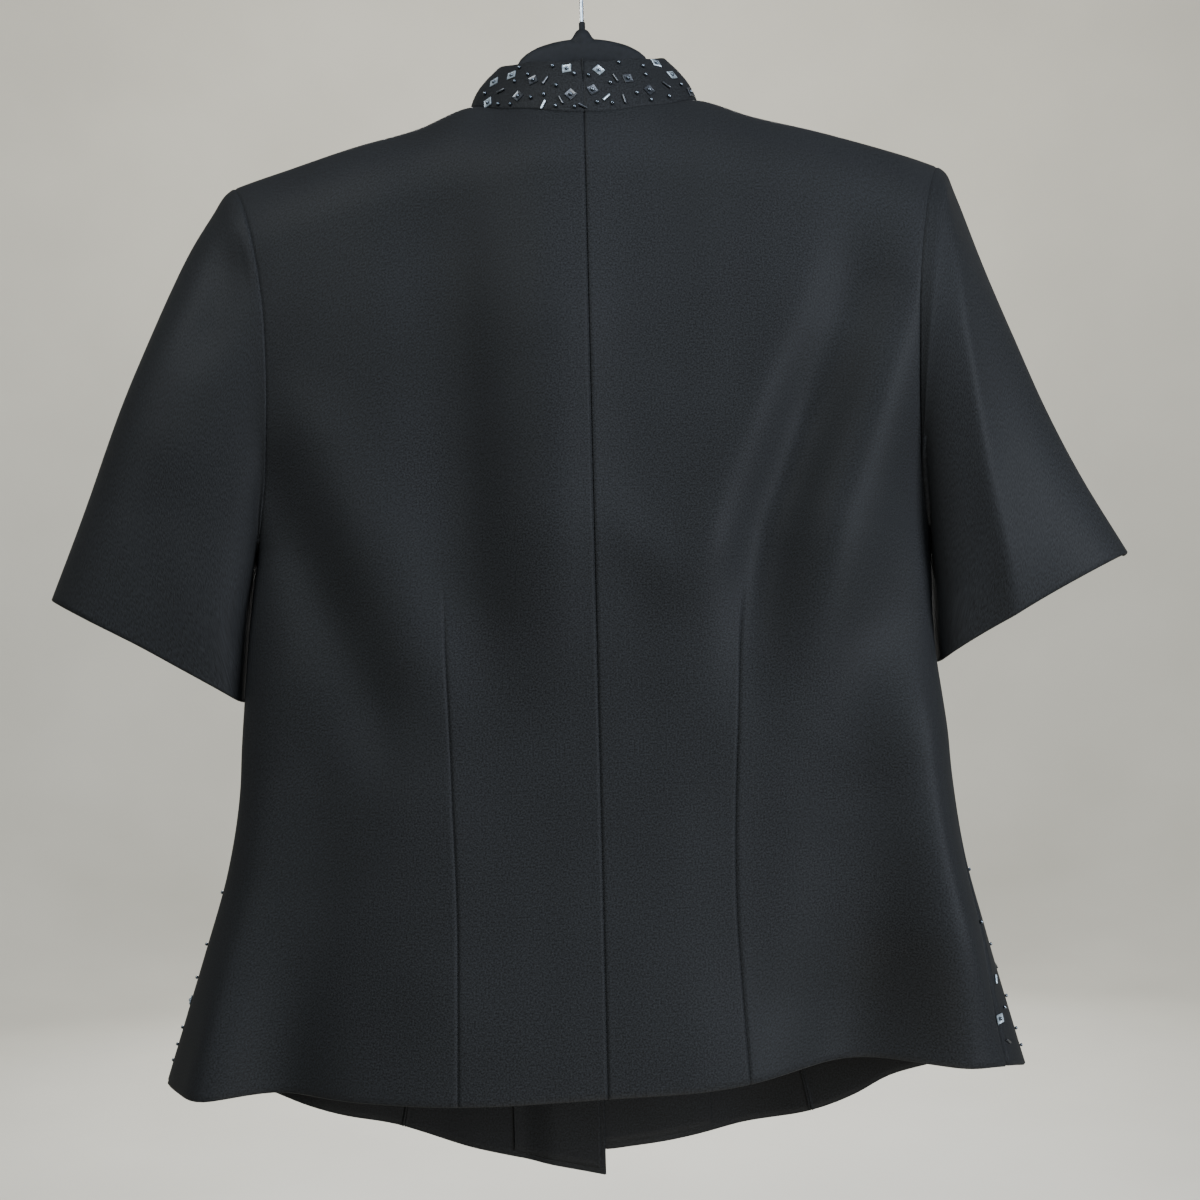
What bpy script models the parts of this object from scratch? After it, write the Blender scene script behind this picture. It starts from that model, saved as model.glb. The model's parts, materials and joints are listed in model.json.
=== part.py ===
"""Short-sleeve stand-collar jacket hung on a plastic hanger with a wire hook.

Frame: metres, +Z up, origin at the inside top of the hook. The jacket's back faces -Y,
so the wearer faces +Y and the wearer's left is -X. Tables are in millimetres, with
heights given as a drop below the origin.
"""

import math

import bpy
import numpy as np

MM = 0.001

# Cloth and seams
CLOTH = 1.5
FACING = 1.0
FACING_GAP = 0.5
COLLAR_CLOTH = 2.2
SEAM_GAP = 0.36
SQUARENESS = 0.8
NUDGE = 1e-4
SIDE_SPEED = 1.4
SETTLE = 18

# Body sections: drop, half width left, half width right, depth of back, depth of front
BODY = (
    (90, 236, 236, 60, 48),
    (150, 236, 236, 60, 48),
    (200, 236, 236, 60, 50),
    (250, 232, 232, 60, 54),
    (300, 222, 222, 58, 58),
    (350, 210, 209, 56, 60),
    (376, 205, 204, 56, 60),
    (402, 208, 204, 55, 59),
    (430, 211.5, 204.5, 54, 57),
    (453, 213.5, 206, 54, 55),
    (471, 215, 208, 54, 54),
    (495, 217, 210.5, 55, 52),
    (520, 218.5, 212, 57, 51),
    (569, 227, 218, 62, 50),
    (617, 241.5, 230, 70, 50),
    (666, 257, 244, 78, 51),
    (691, 265, 251, 82, 52),
    (780, 291, 279, 90, 55),
)
LEFT, RIGHT, BACK, FRONT = 1, 2, 3, 4

# Shoulder line: distance out, drop left, drop right
SHOULDER = (
    (0, 99.5, 99.5),
    (32, 104.5, 104),
    (50, 110.5, 109.5),
    (70, 112.5, 111.5),
    (98, 123.8, 121),
    (137, 133.6, 130.6),
    (177, 145, 141.4),
    (213, 155.2, 152.4),
    (240, 165, 162.4),
)
SHOULDER_END = 0.006

# Rounding from the shoulder line down to each face: distance out, back, front
ROUND = (
    (0, 70, 105),
    (70, 66, 92),
    (125, 57, 60),
    (213, 55, 50),
)
NECK_FADE = 3.5

# Neck edge: half width, depth below the shoulder line at the centre back and front
NECK_HALF = 70
NECK_BACK = 35
NECK_FRONT = 72

# Armhole edge: drop below the shoulder tip, distance out at back, at front
TIP_OUT = 213
UNDERARM = 224
ARMHOLE = (
    (0, 213, 213),
    (12, 206, 205),
    (30, 199, 197),
    (55, 193.5, 188),
    (85, 190, 182.5),
    (115, 189.5, 180.5),
    (145, 190.5, 182),
    (172, 193, 186),
    (195, 196.5, 191.5),
    (212, 200, 197),
    (220, 203, 201),
    (224, 207, 207),
)

# Hems: share of the half width, drop left, drop right
BACK_HEM = (
    (0, 691, 691),
    (0.25, 692.5, 689),
    (0.45, 692.5, 684),
    (0.65, 691.5, 682),
    (0.8, 692, 684.3),
    (0.9, 692.8, 686),
    (0.96, 693, 690),
    (1, 693, 695),
)
FRONT_HEM = (
    (0, 777.5, 761.5),
    (0.17, 767, 755.5),
    (0.31, 757.5, 748),
    (0.49, 739.5, 738.5),
    (0.61, 730, 726),
    (0.69, 722, 715),
    (0.8, 710.5, 706),
    (0.92, 700, 697.5),
    (1, 694, 695),
)

# Seams by drop: the side seam's angle from the centre back, the princess seam's distance out
SIDE_SEAM = (
    (100, 88, 83),
    (500, 88, 83),
    (560, 86.5, 79),
    (606, 84.8, 74.7),
    (644, 84, 70.2),
    (780, 83.5, 68.5),
)
PRINCESS = (
    (100, 140),
    (180, 140),
    (260, 114),
    (330, 97),
    (400, 88),
    (480, 84),
    (560, 92),
    (640, 110),
    (737, 131),
    (780, 139),
)

# Front overlap: how far each front edge stands on its own side of the middle
FRONT_EDGE = {LEFT: 3, RIGHT: -30}
LAP = 3.8
LAP_FULL = 34
LAP_NONE = 56
FACING_SHARE = {LEFT: 0.56, RIGHT: 0.43}
FACING_SHY = 2

# Folds: drop and X of each end, width, height at each end (below zero is a trough)
BACK_FOLDS = (
    (313, -172, 486, -96, 22, -7, -5),
    (355, -111, 411, -88, 22, 4, 5),
    (242, -33, 424, -38, 26, -4, -4),
    (186, 16, 426, 11, 16, -3, -3),
    (358, 61, 342, 101, 18, 4, 4),
    (246, 149, 474, 92, 22, -6, -5),
    (410, -175, 560, -190, 28, 4, 3),
    (560, -205, 700, -234, 20, 2, 16),
    (590, -178, 700, -186, 24, -2, -13),
    (540, 160, 700, 138, 38, -5, -30),
    (560, 196, 700, 212, 22, 3, 6),
    (600, -60, 700, -80, 50, 0, 7),
)
FRONT_FOLDS = (
    (300, -150, 470, -95, 26, -6, -5),
    (290, 155, 480, 90, 26, -6, -6),
    (330, -60, 420, -70, 30, 4, 5),
    (340, 75, 430, 70, 30, 5, 4),
    (560, -170, 730, -185, 34, -3, -10),
    (570, 100, 750, 95, 36, 3, 8),
)

# Sleeve outline by share of its length: outer out, drop, inner out, drop, for left and right
SLEEVE = (
    (0, 213, 155.2, 206, 379, 213, 152.4, 205, 376.4),
    (0.06, 219.5, 160, 207.6, 381, 218.5, 157, 206.2, 379),
    (0.13, 226.5, 169.5, 208.4, 386, 223, 167.5, 206.3, 383.5),
    (0.22, 240, 189.5, 209.2, 395, 231, 188.5, 206, 391),
    (0.33, 254, 215.5, 210.3, 406, 240, 212.5, 205.7, 400),
    (0.5, 275, 263.5, 212.2, 423, 255.5, 251.5, 205.7, 415),
    (0.67, 295.5, 311.5, 213.8, 440, 274.5, 296.5, 206, 430),
    (0.84, 315, 360.5, 215.2, 455, 297.5, 342.5, 206.9, 442),
    (1, 332, 402, 216.3, 466.5, 325, 389.5, 207.7, 452),
)
SLEEVE_FORWARD = ((0, 0, 0), (0.13, 1, 5), (0.33, 3, 9), (0.5, 4, 10), (0.75, 5, 10), (1, 5, 10))
# How keen the sleeve's inner edge is on its back and front; less than nothing is blunt
SLEEVE_EDGE = (-0.6, 0.5)
CUFF_RISE = {LEFT: (4, 9), RIGHT: (6, 11)}
SLEEVE_DEPTH = ((0, 42, 40), (0.3, 47, 43), (0.6, 46, 41), (1, 40, 36))
SLEEVE_STEPS = (0, 0.045, 0.1, 0.17, 0.26, 0.36, 0.47, 0.58, 0.69, 0.8, 0.9, 1)
HEAD_BLEND = 0.62
SEAM_STEP = 0.6

# Collar
COLLAR_HEIGHT = ((0, 34, 34), (45, 33, 34), (70, 29.5, 33), (90, 27, 31), (115, 29, 32), (180, 34, 34))
COLLAR_LEAN = ((0, 14), (45, 24), (90, 36), (135, 31), (180, 20))
COLLAR_STEPS = (0, 0.34, 0.67, 1)
COLLAR_MEET = 16
COLLAR_APART = 1.6

# Grid shares up the body, below and above the underarm, and the shares of neck angle
ROWS_BELOW = 10
ROWS_ABOVE = (0.035, 0.09, 0.17, 0.27, 0.38, 0.5, 0.62, 0.74, 0.85, 0.93, 1)
NECK_STEPS = 6
BACK_REST = 7
SIDE_STEPS = 8
FRONT_REST = 4

# Buttons
BUTTON_RADIUS = 9
BUTTON_HIGH = 3.2
BUTTON_OUT = -16.5
BUTTON_DROPS = (225, 320, 415, 510)
BUTTON_SEGMENTS = 20

# Hanger arms: distance out, top drop, height, depth
HANGER = (
    (0, 68, 19, 12),
    (7, 68.4, 19, 12),
    (20, 70.6, 18.5, 12),
    (31, 74.8, 17.5, 12),
    (38.5, 80.8, 16.5, 12),
    (44, 91, 16, 12),
    (51, 102.5, 16.5, 12),
    (61, 114.5, 17, 12),
    (72, 122, 17.5, 12),
    (84, 126, 17.5, 12),
    (105, 132.5, 17.5, 12),
    (140, 142, 17, 12),
    (175, 153, 15, 11),
    (194, 160, 11, 9),
    (198, 163, 6, 5),
)
HANGER_SEGMENTS = 14
HANGER_SQUARE = 0.75
NECK_PROFILE = ((1.95, 57.6), (1.95, 62.6), (3.7, 63), (4.7, 64.4), (5.8, 66.4), (6.4, 67.6), (6.4, 72))
BORE_RADIUS = 1.45
BORE_DROP = 76

# Hook
WIRE_RADIUS = 1.3
HOOK_RADIUS = 20
HOOK_START = -55
HOOK_END = 205
STEM_TOP = 44
STEM_BOTTOM = 75
WIRE_SEGMENTS = 12

COLOURS = {
    "cloth": (0.030, 0.032, 0.035),
    "plastic": (0.022, 0.025, 0.028),
    "metal": (0.62, 0.63, 0.65),
    "button": (0.018, 0.019, 0.021),
}


def smooth(rows, column, at):
    """Value of a column at a place in the first column, by a cubic through the rows."""
    table = np.array(rows, float)
    xs = table[:, 0]
    ys = table[:, column]
    slopes = np.gradient(ys, xs)
    at = np.clip(at, xs[0], xs[-1])
    i = np.clip(np.searchsorted(xs, at) - 1, 0, len(xs) - 2)
    step = xs[i + 1] - xs[i]
    u = (at - xs[i]) / step
    rise = ys[i + 1] - ys[i]
    bend = slopes[i] * step * u * (1 - u) ** 2 - slopes[i + 1] * step * u**2 * (1 - u)
    return ys[i] + rise * u**2 * (3 - 2 * u) + bend


def unit(vectors):
    """Vectors at length one."""
    return vectors / np.maximum(np.linalg.norm(vectors, axis=-1, keepdims=True), 1e-12)


def sign_of(side):
    """-1 for the wearer's left and +1 for the right, along X."""
    return -1 if side == LEFT else 1


def angle_out(side, drop, out, front):
    """Angle from the centre back at which the body stands this far out."""
    angle = np.arcsin(np.clip(out / smooth(BODY, side, drop), -1, 1))
    return np.pi - angle if front else angle


def hem_drop(side, angle):
    """Drop of the hem at an angle."""
    share = np.clip(np.abs(np.sin(angle)), 0, 1)
    behind = smooth(BACK_HEM, side, share)
    before = smooth(FRONT_HEM, side, share)
    return np.where(np.cos(angle) > 0, behind, before)


def rounding(out, angle):
    """Height of the shoulder's rounding at a distance out."""
    behind = smooth(ROUND, 1, np.abs(out))
    return np.where(np.cos(angle) > 0, behind, smooth(ROUND, 2, np.abs(out)))


def round_share(length, high):
    """Share of a column at which the shoulder's rounding starts."""
    return (length - high) / (length - high + high * np.pi / 2)


def fold_height(folds, x, drop):
    """Sum of the soft ridges and troughs at a place on one face."""
    total = np.zeros_like(x)
    for drop_a, x_a, drop_b, x_b, width, high_a, high_b in folds:
        along = np.array((x_b - x_a, drop_b - drop_a), float)
        share = ((x - x_a) * along[0] + (drop - drop_a) * along[1]) / (along @ along)
        held = np.clip(share, 0, 1)
        gap = np.hypot(x - x_a - held * along[0], drop - drop_a - held * along[1])
        total += (high_a + (high_b - high_a) * held) * np.exp(-((gap / width) ** 2))
    return total


def body_points(side, angle_at, share, lap=0.0):
    """Body points: angle_at gives the angle from the drop, share runs from hem to shoulder."""
    drop = np.full_like(share, 300.0)
    for _ in range(SETTLE):
        angle = angle_at(drop)
        out = smooth(BODY, side, drop) * np.sin(angle)
        line = smooth(SHOULDER, side, np.abs(out))
        length = hem_drop(side, angle) - line
        high = rounding(out, angle)
        start = round_share(length, high)
        turn = np.pi / 2 * (1 - share) / (1 - start)
        straight = length - share * (length - high) / start
        rounded = high * (1 - np.cos(turn))
        drop = line + np.where(share < start, straight, rounded)
    reach = np.where(share < start, 1, np.sin(turn))
    across = np.cos(angle)
    behind = across > 0
    depth = np.where(behind, -smooth(BODY, BACK, drop), smooth(BODY, FRONT, drop))
    x = sign_of(side) * out
    back_fold = -fold_height(BACK_FOLDS, x, drop)
    front_fold = fold_height(FRONT_FOLDS, x, drop)
    fullness = np.abs(across) ** SQUARENESS
    fold = np.where(behind, back_fold, front_fold) * np.minimum(1, 2 * fullness) * reach**2
    under = np.clip((LAP_NONE - out) / (LAP_NONE - LAP_FULL), 0, 1)
    y = depth * fullness * reach + fold - lap * under**2 * (3 - 2 * under)
    return np.stack((x, y, -drop), axis=-1)


def share_at(below, length, high):
    """Share of a column at a height below the shoulder line."""
    start = round_share(length, high)
    turn = np.arccos(np.clip(1 - below / high, 0, 1))
    rounded = 1 - turn * (1 - start) / (np.pi / 2)
    straight = (length - below) * start / (length - high)
    return np.where(below < high, rounded, straight)


def top_share(side, angle_at, columns):
    """Share at which each column meets the neck edge, an oval from above, or the shoulder seam."""
    drop = np.full_like(columns, 120.0)
    for _ in range(SETTLE):
        angle = angle_at(drop)
        out = smooth(BODY, side, drop) * np.sin(angle)
        line = smooth(SHOULDER, side, np.abs(out))
        high = rounding(out, angle)
        hollow = np.where(np.cos(angle) > 0, NECK_BACK, NECK_FRONT)
        middle = 1 - (1 - hollow / rounding(0 * out, angle)) ** 2
        reach = middle * np.clip(1 - (out / NECK_HALF) ** 2, 0, 1)
        reach = np.maximum(reach, math.sin(SHOULDER_END) ** 2)
        below = high * (1 - np.sqrt(1 - reach))
        drop = line + below
    return share_at(below, hem_drop(side, angle) - line, high)


def underarm_share(side):
    """Share of the side column at which the armhole starts."""
    side_on = np.array(np.pi / 2)
    out = smooth(BODY, side, np.array(150.0 + UNDERARM))
    line = smooth(SHOULDER, side, out)
    below = smooth(SHOULDER, side, np.array(TIP_OUT)) + UNDERARM - line
    return share_at(below, hem_drop(side, side_on) - line, rounding(out, side_on))


def row_shares(side):
    """Grid shares up the body with a row at the underarm."""
    under = underarm_share(side)
    below = np.linspace(0, under, ROWS_BELOW + 1)
    above = under + (1 - under) * np.array(ROWS_ABOVE)
    return np.concatenate((below, above))


def armhole_angle(side, drop, front):
    """Angle of the armhole's edge, or of the side seam below it."""
    tip = smooth(SHOULDER, side, np.array(float(TIP_OUT)))
    out = smooth(ARMHOLE, 2 if front else 1, drop - tip)
    angle = angle_out(side, drop, out, front)
    seam = np.radians(smooth(SIDE_SEAM, side, drop))
    if front:
        return np.where(drop - tip < UNDERARM, np.maximum(angle, seam), seam)
    return np.where(drop - tip < UNDERARM, np.minimum(angle, seam), seam)


def column_angle(side, low, high, columns):
    """Angle by drop for columns given as shares from one edge of a panel to the other."""

    def angle_at(drop):
        start = low(drop)
        return start + columns * (high(drop) - start)

    return angle_at


def normals(side, angle_at, share, lap=0.0):
    """Outward directions of the body's surface."""
    ahead = body_points(side, lambda drop: angle_at(drop) + NUDGE * 20, share, lap)
    behind = body_points(side, lambda drop: angle_at(drop) - NUDGE * 20, share, lap)
    above = body_points(side, angle_at, share + NUDGE * 5, lap)
    below = body_points(side, angle_at, share - NUDGE * 5, lap)
    return sign_of(side) * unit(np.cross(ahead - behind, above - below))


def inset(side, edge, way):
    """An edge moved into its panel by half the seam's gap."""

    def moved(drop):
        angle = edge(drop)
        wide = smooth(BODY, side, drop) * np.cos(angle)
        deep = SIDE_SPEED * smooth(BODY, BACK, drop) * np.sin(angle)
        return angle + way * SEAM_GAP / 2 / np.hypot(wide, deep)

    return moved


def panel_grid(side, edges, top_columns, low_columns, lap=0.0):
    """Points and outward directions of a panel, rows from hem to top.

    Columns are shares from one edge to the other, given at the top and at the hem.
    """
    low = inset(side, edges[0], 1)
    high = inset(side, edges[1], -1)
    rows = row_shares(side)[:, None]
    top_columns = np.asarray(top_columns, float)
    top = top_share(side, column_angle(side, low, high, top_columns), top_columns)
    share = rows - (1 - top) * rows**NECK_FADE
    ease = rows**NECK_FADE
    columns = low_columns + (top_columns - low_columns) * ease
    angle_at = column_angle(side, low, high, columns)
    return body_points(side, angle_at, share, lap), normals(side, angle_at, share, lap)


def material(name, roughness, metallic=0.0):
    """Principled material of one slot."""
    made = bpy.data.materials.get(name)
    if made is None:
        made = bpy.data.materials.new(name)
        made.use_nodes = True
        shader = made.node_tree.nodes["Principled BSDF"]
        shader.inputs["Base Color"].default_value = (*COLOURS[name], 1)
        shader.inputs["Roughness"].default_value = roughness
        shader.inputs["Metallic"].default_value = metallic
    return made


def solid(name, points, faces, finish):
    """Object from points in millimetres and faces that may need turning outwards."""
    points = np.asarray(points, float)
    fans = [(face[0], face[i], face[i + 1]) for face in faces for i in range(1, len(face) - 1)]
    corners = points[np.array(fans)]
    if np.linalg.det(corners).sum() < 0:
        faces = [tuple(reversed(face)) for face in faces]
    mesh = bpy.data.meshes.new(name)
    mesh.from_pydata((points * MM).tolist(), [], faces)
    mesh.materials.append(finish)
    made = bpy.data.objects.new(name, mesh)
    bpy.context.scene.collection.objects.link(made)
    return made


def wall(name, outer, inner, finish, around=False):
    """Closed wall between two grids; around joins the last column to the first."""
    rows, columns = outer.shape[:2]
    count = rows * columns
    steps = columns if around else columns - 1
    points = np.concatenate((outer.reshape(-1, 3), inner.reshape(-1, 3)))

    def at(layer, row, column):
        return layer * count + row * columns + column % columns

    faces = []
    for row in range(rows - 1):
        for column in range(steps):
            a, b = at(0, row, column), at(0, row, column + 1)
            c, d = at(0, row + 1, column + 1), at(0, row + 1, column)
            level = np.linalg.norm(points[a] - points[c]) < np.linalg.norm(points[b] - points[d])
            for e, f, g in ((a, b, c), (a, c, d)) if level else ((a, b, d), (b, c, d)):
                faces.append((e, f, g))
                faces.append((e + count, g + count, f + count))
    for column in range(steps):
        a, b = at(0, 0, column), at(0, 0, column + 1)
        faces.append((b, a, a + count, b + count))
        c, d = at(0, rows - 1, column), at(0, rows - 1, column + 1)
        faces.append((c, d, d + count, c + count))
    for row in range(0 if around else rows - 1):
        a, b = at(0, row, 0), at(0, row + 1, 0)
        faces.append((a, b, b + count, a + count))
        c, d = at(0, row, columns - 1), at(0, row + 1, columns - 1)
        faces.append((d, c, c + count, d + count))
    return solid(name, points, faces, finish)


def lofted(name, rings, finish):
    """Closed solid through rings of points, with flat ends."""
    rows, columns = rings.shape[:2]
    faces = []
    for row in range(rows - 1):
        for column in range(columns):
            a = row * columns + column
            b = row * columns + (column + 1) % columns
            faces.append((a, b, b + columns, a + columns))
    faces.append(tuple(range(columns - 1, -1, -1)))
    faces.append(tuple(range((rows - 1) * columns, rows * columns)))
    return solid(name, rings.reshape(-1, 3), faces, finish)


def back_edges(side):
    """Edges of a back panel: centre back, then side seam and armhole."""
    return (lambda drop: np.zeros_like(drop)), (lambda drop: armhole_angle(side, drop, False))


def side_front_edges(side):
    """Edges of a side front: side seam and armhole, then princess seam."""
    return (
        lambda drop: armhole_angle(side, drop, True),
        lambda drop: angle_out(side, drop, smooth(PRINCESS, 1, drop), True),
    )


def front_edges(side):
    """Edges of a front: princess seam, then the free edge."""
    return (
        lambda drop: angle_out(side, drop, smooth(PRINCESS, 1, drop), True),
        lambda drop: angle_out(side, drop, FRONT_EDGE[side], True),
    )


def shares_at(side, edges, outs, front):
    """Column shares whose tops stand at given distances from the middle."""
    outs = np.asarray(outs, float)
    drop = np.full_like(outs, 120.0)
    angle = angle_out(side, drop, outs, front)
    low, high = edges[0](drop), edges[1](drop)
    return (angle - low) / (high - low)


def back_grid(side):
    """Grid of a back panel and the column of its neck point."""
    edges = back_edges(side)
    neck = NECK_HALF * np.sin(np.linspace(0, np.pi / 2, NECK_STEPS + 1))
    columns = shares_at(side, edges, neck, False)
    columns = np.concatenate((columns, np.linspace(columns[-1], 1, BACK_REST + 1)[1:]))
    even = np.linspace(0, 1, len(columns))
    points, ways = panel_grid(side, edges, columns, even)
    return points, ways, NECK_STEPS


def front_grid(side):
    """Grid of a front, the column of its neck point and the column where the collar ends.

    The neck point's column runs down to the facing's edge.
    """
    edges = front_edges(side)
    stop = COLLAR_MEET + COLLAR_APART if side == LEFT else COLLAR_APART - COLLAR_MEET
    turn = np.linspace(np.pi / 2, math.asin(stop / NECK_HALF), NECK_STEPS + 1)
    columns = shares_at(side, edges, NECK_HALF * np.sin(turn), True)
    columns = np.concatenate((np.linspace(0, columns[0], FRONT_REST + 1)[:-1], columns, (1,)))
    inner = np.linspace(FACING_SHARE[side], 1, NECK_STEPS + 2)
    even = np.concatenate((np.linspace(0, inner[0], FRONT_REST + 1)[:-1], inner))
    points, ways = panel_grid(side, edges, columns, even, LAP if side == LEFT else 0)
    return points, ways, FRONT_REST, len(columns) - 2


def shortened(grid):
    """A grid drawn back a little from its front edge, hem and top."""
    grid = grid.copy()
    for far, near in (((slice(None), -1), (slice(None), -2)), ((0,), (1,)), ((-1,), (-2,))):
        step = grid[near] - grid[far]
        grid[far] += FACING_SHY * unit(step)
    return grid


def sleeve_rings(side, back, side_front):
    """Outer and inner rings of a sleeve that starts at the armhole's edge points."""
    first = ROWS_BELOW
    back_points, back_ways = back
    front_points, front_ways = side_front
    rear = back_points[first:, -1]
    fore = front_points[first:, 0]
    rear_way = back_ways[first:, -1]
    fore_way = front_ways[first:, 0]

    def loop(rear_rows, fore_rows):
        tip = (rear_rows[-1:] + fore_rows[-1:]) / 2
        pit = (rear_rows[:1] + fore_rows[:1]) / 2
        return np.concatenate((tip, rear_rows[-2:0:-1], pit, fore_rows[1:-1]))

    edge = loop(rear, fore)
    way = unit(loop(rear_way, fore_way))
    along = np.roll(edge, -1, axis=0) - np.roll(edge, 1, axis=0)
    outward = -sign_of(side) * unit(np.cross(along, way))
    start = edge + SEAM_STEP * way + SEAM_STEP * outward
    half = len(rear) - 1
    steps = np.linalg.norm(np.diff(np.concatenate((edge, edge[:1])), axis=0), axis=1)
    run = np.concatenate(((0,), np.cumsum(steps)))
    turn = np.where(
        np.arange(len(edge)) <= half,
        np.pi * run[:-1] / run[half],
        np.pi + np.pi * (run[:-1] - run[half]) / (run[-1] - run[half]),
    )
    share = np.array(SLEEVE_STEPS)[:, None]
    place = 1 if side == LEFT else 5
    outer_out, outer_drop, inner_out, inner_drop = (
        smooth(SLEEVE, place + i, share) for i in range(4)
    )
    behind = np.sin(turn) > 0
    deep = np.where(behind, smooth(SLEEVE_DEPTH, 1, share), smooth(SLEEVE_DEPTH, 2, share))
    middle_out = (outer_out + inner_out) / 2
    middle_drop = (outer_drop + inner_drop) / 2
    x = sign_of(side) * (middle_out + (outer_out - inner_out) / 2 * np.cos(turn))
    z = -(middle_drop + (outer_drop - inner_drop) / 2 * np.cos(turn))
    outer_y, inner_y = (smooth(SLEEVE_FORWARD, i, share) for i in (1, 2))
    keen = np.where(behind, *SLEEVE_EDGE) * (1 - np.cos(turn)) / 2
    bulge = np.sign(np.sin(turn)) * np.abs(np.sin(turn)) ** (1 + keen)
    y = (outer_y + inner_y) / 2 + (outer_y - inner_y) / 2 * np.cos(turn) - deep * bulge
    rise = np.where(behind, *CUFF_RISE[side])
    z = z + rise * share**3 * np.abs(np.sin(turn))
    rings = np.stack((x, y, z), axis=-1)
    run = np.clip(share / HEAD_BLEND, 0, 1)[..., None]
    fade = 1 - run**2 * (3 - 2 * run)
    rings = rings + fade * (start - rings[0])
    around = np.roll(rings, -1, axis=1) - np.roll(rings, 1, axis=1)
    down = np.gradient(rings, axis=0)
    face = sign_of(side) * unit(np.cross(around, down))
    face[0] = unit(face[0] + way)
    return rings, rings - CLOTH * face


def collar_grids(side, back_points, front_points, neck_back, neck_front, stop):
    """Outer and inner grids of half the collar, standing on the neck edges."""
    rear = back_points[-1, : neck_back + 1]
    fore = front_points[-1, neck_front : stop + 1]
    joint = (rear[-1:] + fore[:1]) / 2
    base = np.concatenate((rear[:-1], joint, fore[1:]))
    turn = np.concatenate(
        (np.linspace(0, 90, len(rear)), np.linspace(90, 180, len(fore))[1:])
    )
    lean = np.radians(smooth(COLLAR_LEAN, 1, turn))[:, None]
    along = np.gradient(base, axis=0)
    along[0] = (sign_of(side), 0, 0)
    flat = along * (1, 1, 0)
    out = sign_of(side) * unit(np.cross(flat, (0, 0, 1)))
    rise = -np.sin(lean) * out + np.cos(lean) * np.array((0, 0, 1))
    way = sign_of(side) * unit(np.cross(along, rise))
    share = np.array(COLLAR_STEPS)[:, None, None]
    high = smooth(COLLAR_HEIGHT, side, turn)[:, None]
    outer = base + rise * (share * high + 2 * SEAM_GAP)
    ways = np.repeat(way[None], len(share), axis=0)
    ways[0] = out
    return outer, outer - COLLAR_CLOTH * ways


def button(name, centre, way, finish):
    """Plain domed button lying on the front."""
    profile = (
        (0.0, 0.3),
        (BUTTON_RADIUS - 0.8, 0.3),
        (BUTTON_RADIUS, 1.2),
        (BUTTON_RADIUS - 0.3, 2.2),
        (BUTTON_RADIUS - 2.5, BUTTON_HIGH),
        (0.0, BUTTON_HIGH),
    )
    across = unit(np.cross(way, (0, 0, 1)))
    upward = np.cross(across, way)
    turns = np.arange(BUTTON_SEGMENTS) * 2 * np.pi / BUTTON_SEGMENTS
    spokes = np.cos(turns)[:, None] * across + np.sin(turns)[:, None] * upward
    rings = np.array([centre + spokes * r + way * h for r, h in profile[1:-1]])
    return lofted(name, rings, finish)


def sweep(name, path, radius, finish):
    """Round wire along a flat path in the XZ plane."""
    along = unit(np.gradient(path, axis=0))
    side = np.array((0.0, 1.0, 0.0))
    across = np.cross(along, side)
    turns = np.arange(WIRE_SEGMENTS) * 2 * np.pi / WIRE_SEGMENTS
    rings = (
        path[:, None]
        + radius * np.cos(turns)[None, :, None] * across[:, None]
        + radius * np.sin(turns)[None, :, None] * side
    )
    return lofted(name, rings, finish)


def hook_path():
    """Stem, bend and round hook, from the bottom of the stem to the free end."""
    centre = np.array((0.0, 0.0, WIRE_RADIUS - HOOK_RADIUS))
    turns = np.radians(np.linspace(HOOK_START, HOOK_END, 34))
    circle = np.stack((np.cos(turns), np.zeros_like(turns), np.sin(turns)), axis=-1)
    ring = centre + HOOK_RADIUS * circle
    tangent = unit(ring[1] - ring[0])
    low = np.array((0.0, 0.0, -STEM_TOP))
    reach = np.linalg.norm(ring[0] - low) * 0.42
    share = np.linspace(0, 1, 10)[:, None]
    bend = (
        (1 - share) ** 3 * low
        + 3 * (1 - share) ** 2 * share * (low + (0, 0, reach))
        + 3 * (1 - share) * share**2 * (ring[0] - tangent * reach)
        + share**3 * ring[0]
    )
    stem = np.array([(0.0, 0.0, -STEM_BOTTOM), (0.0, 0.0, -62.0), (0.0, 0.0, -52.0)])
    return np.concatenate((stem, bend[:-1], ring))


def lathe(name, profile, finish):
    """Round solid about the stem's line from radius and drop pairs."""
    turns = np.arange(24) * 2 * np.pi / 24
    spokes = np.stack((np.cos(turns), np.sin(turns), np.zeros_like(turns)), axis=-1)
    rings = np.array([spokes * radius - (0, 0, drop) for radius, drop in profile])
    return lofted(name, rings, finish)


def helper(made):
    """Keeps a cutter or joined piece out of the part."""
    made.hide_render = True
    made.display_type = "WIRE"
    return made


def combine(target, other, operation):
    """Boolean join or cut."""
    step = target.modifiers.new(operation.lower() + "_" + other.name, "BOOLEAN")
    step.operation = operation
    step.solver = "EXACT"
    step.object = other


def squared(wave):
    """Sine or cosine drawn out, so that a circle becomes a rounded square."""
    return np.sign(wave) * np.abs(wave) ** HANGER_SQUARE


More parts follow.
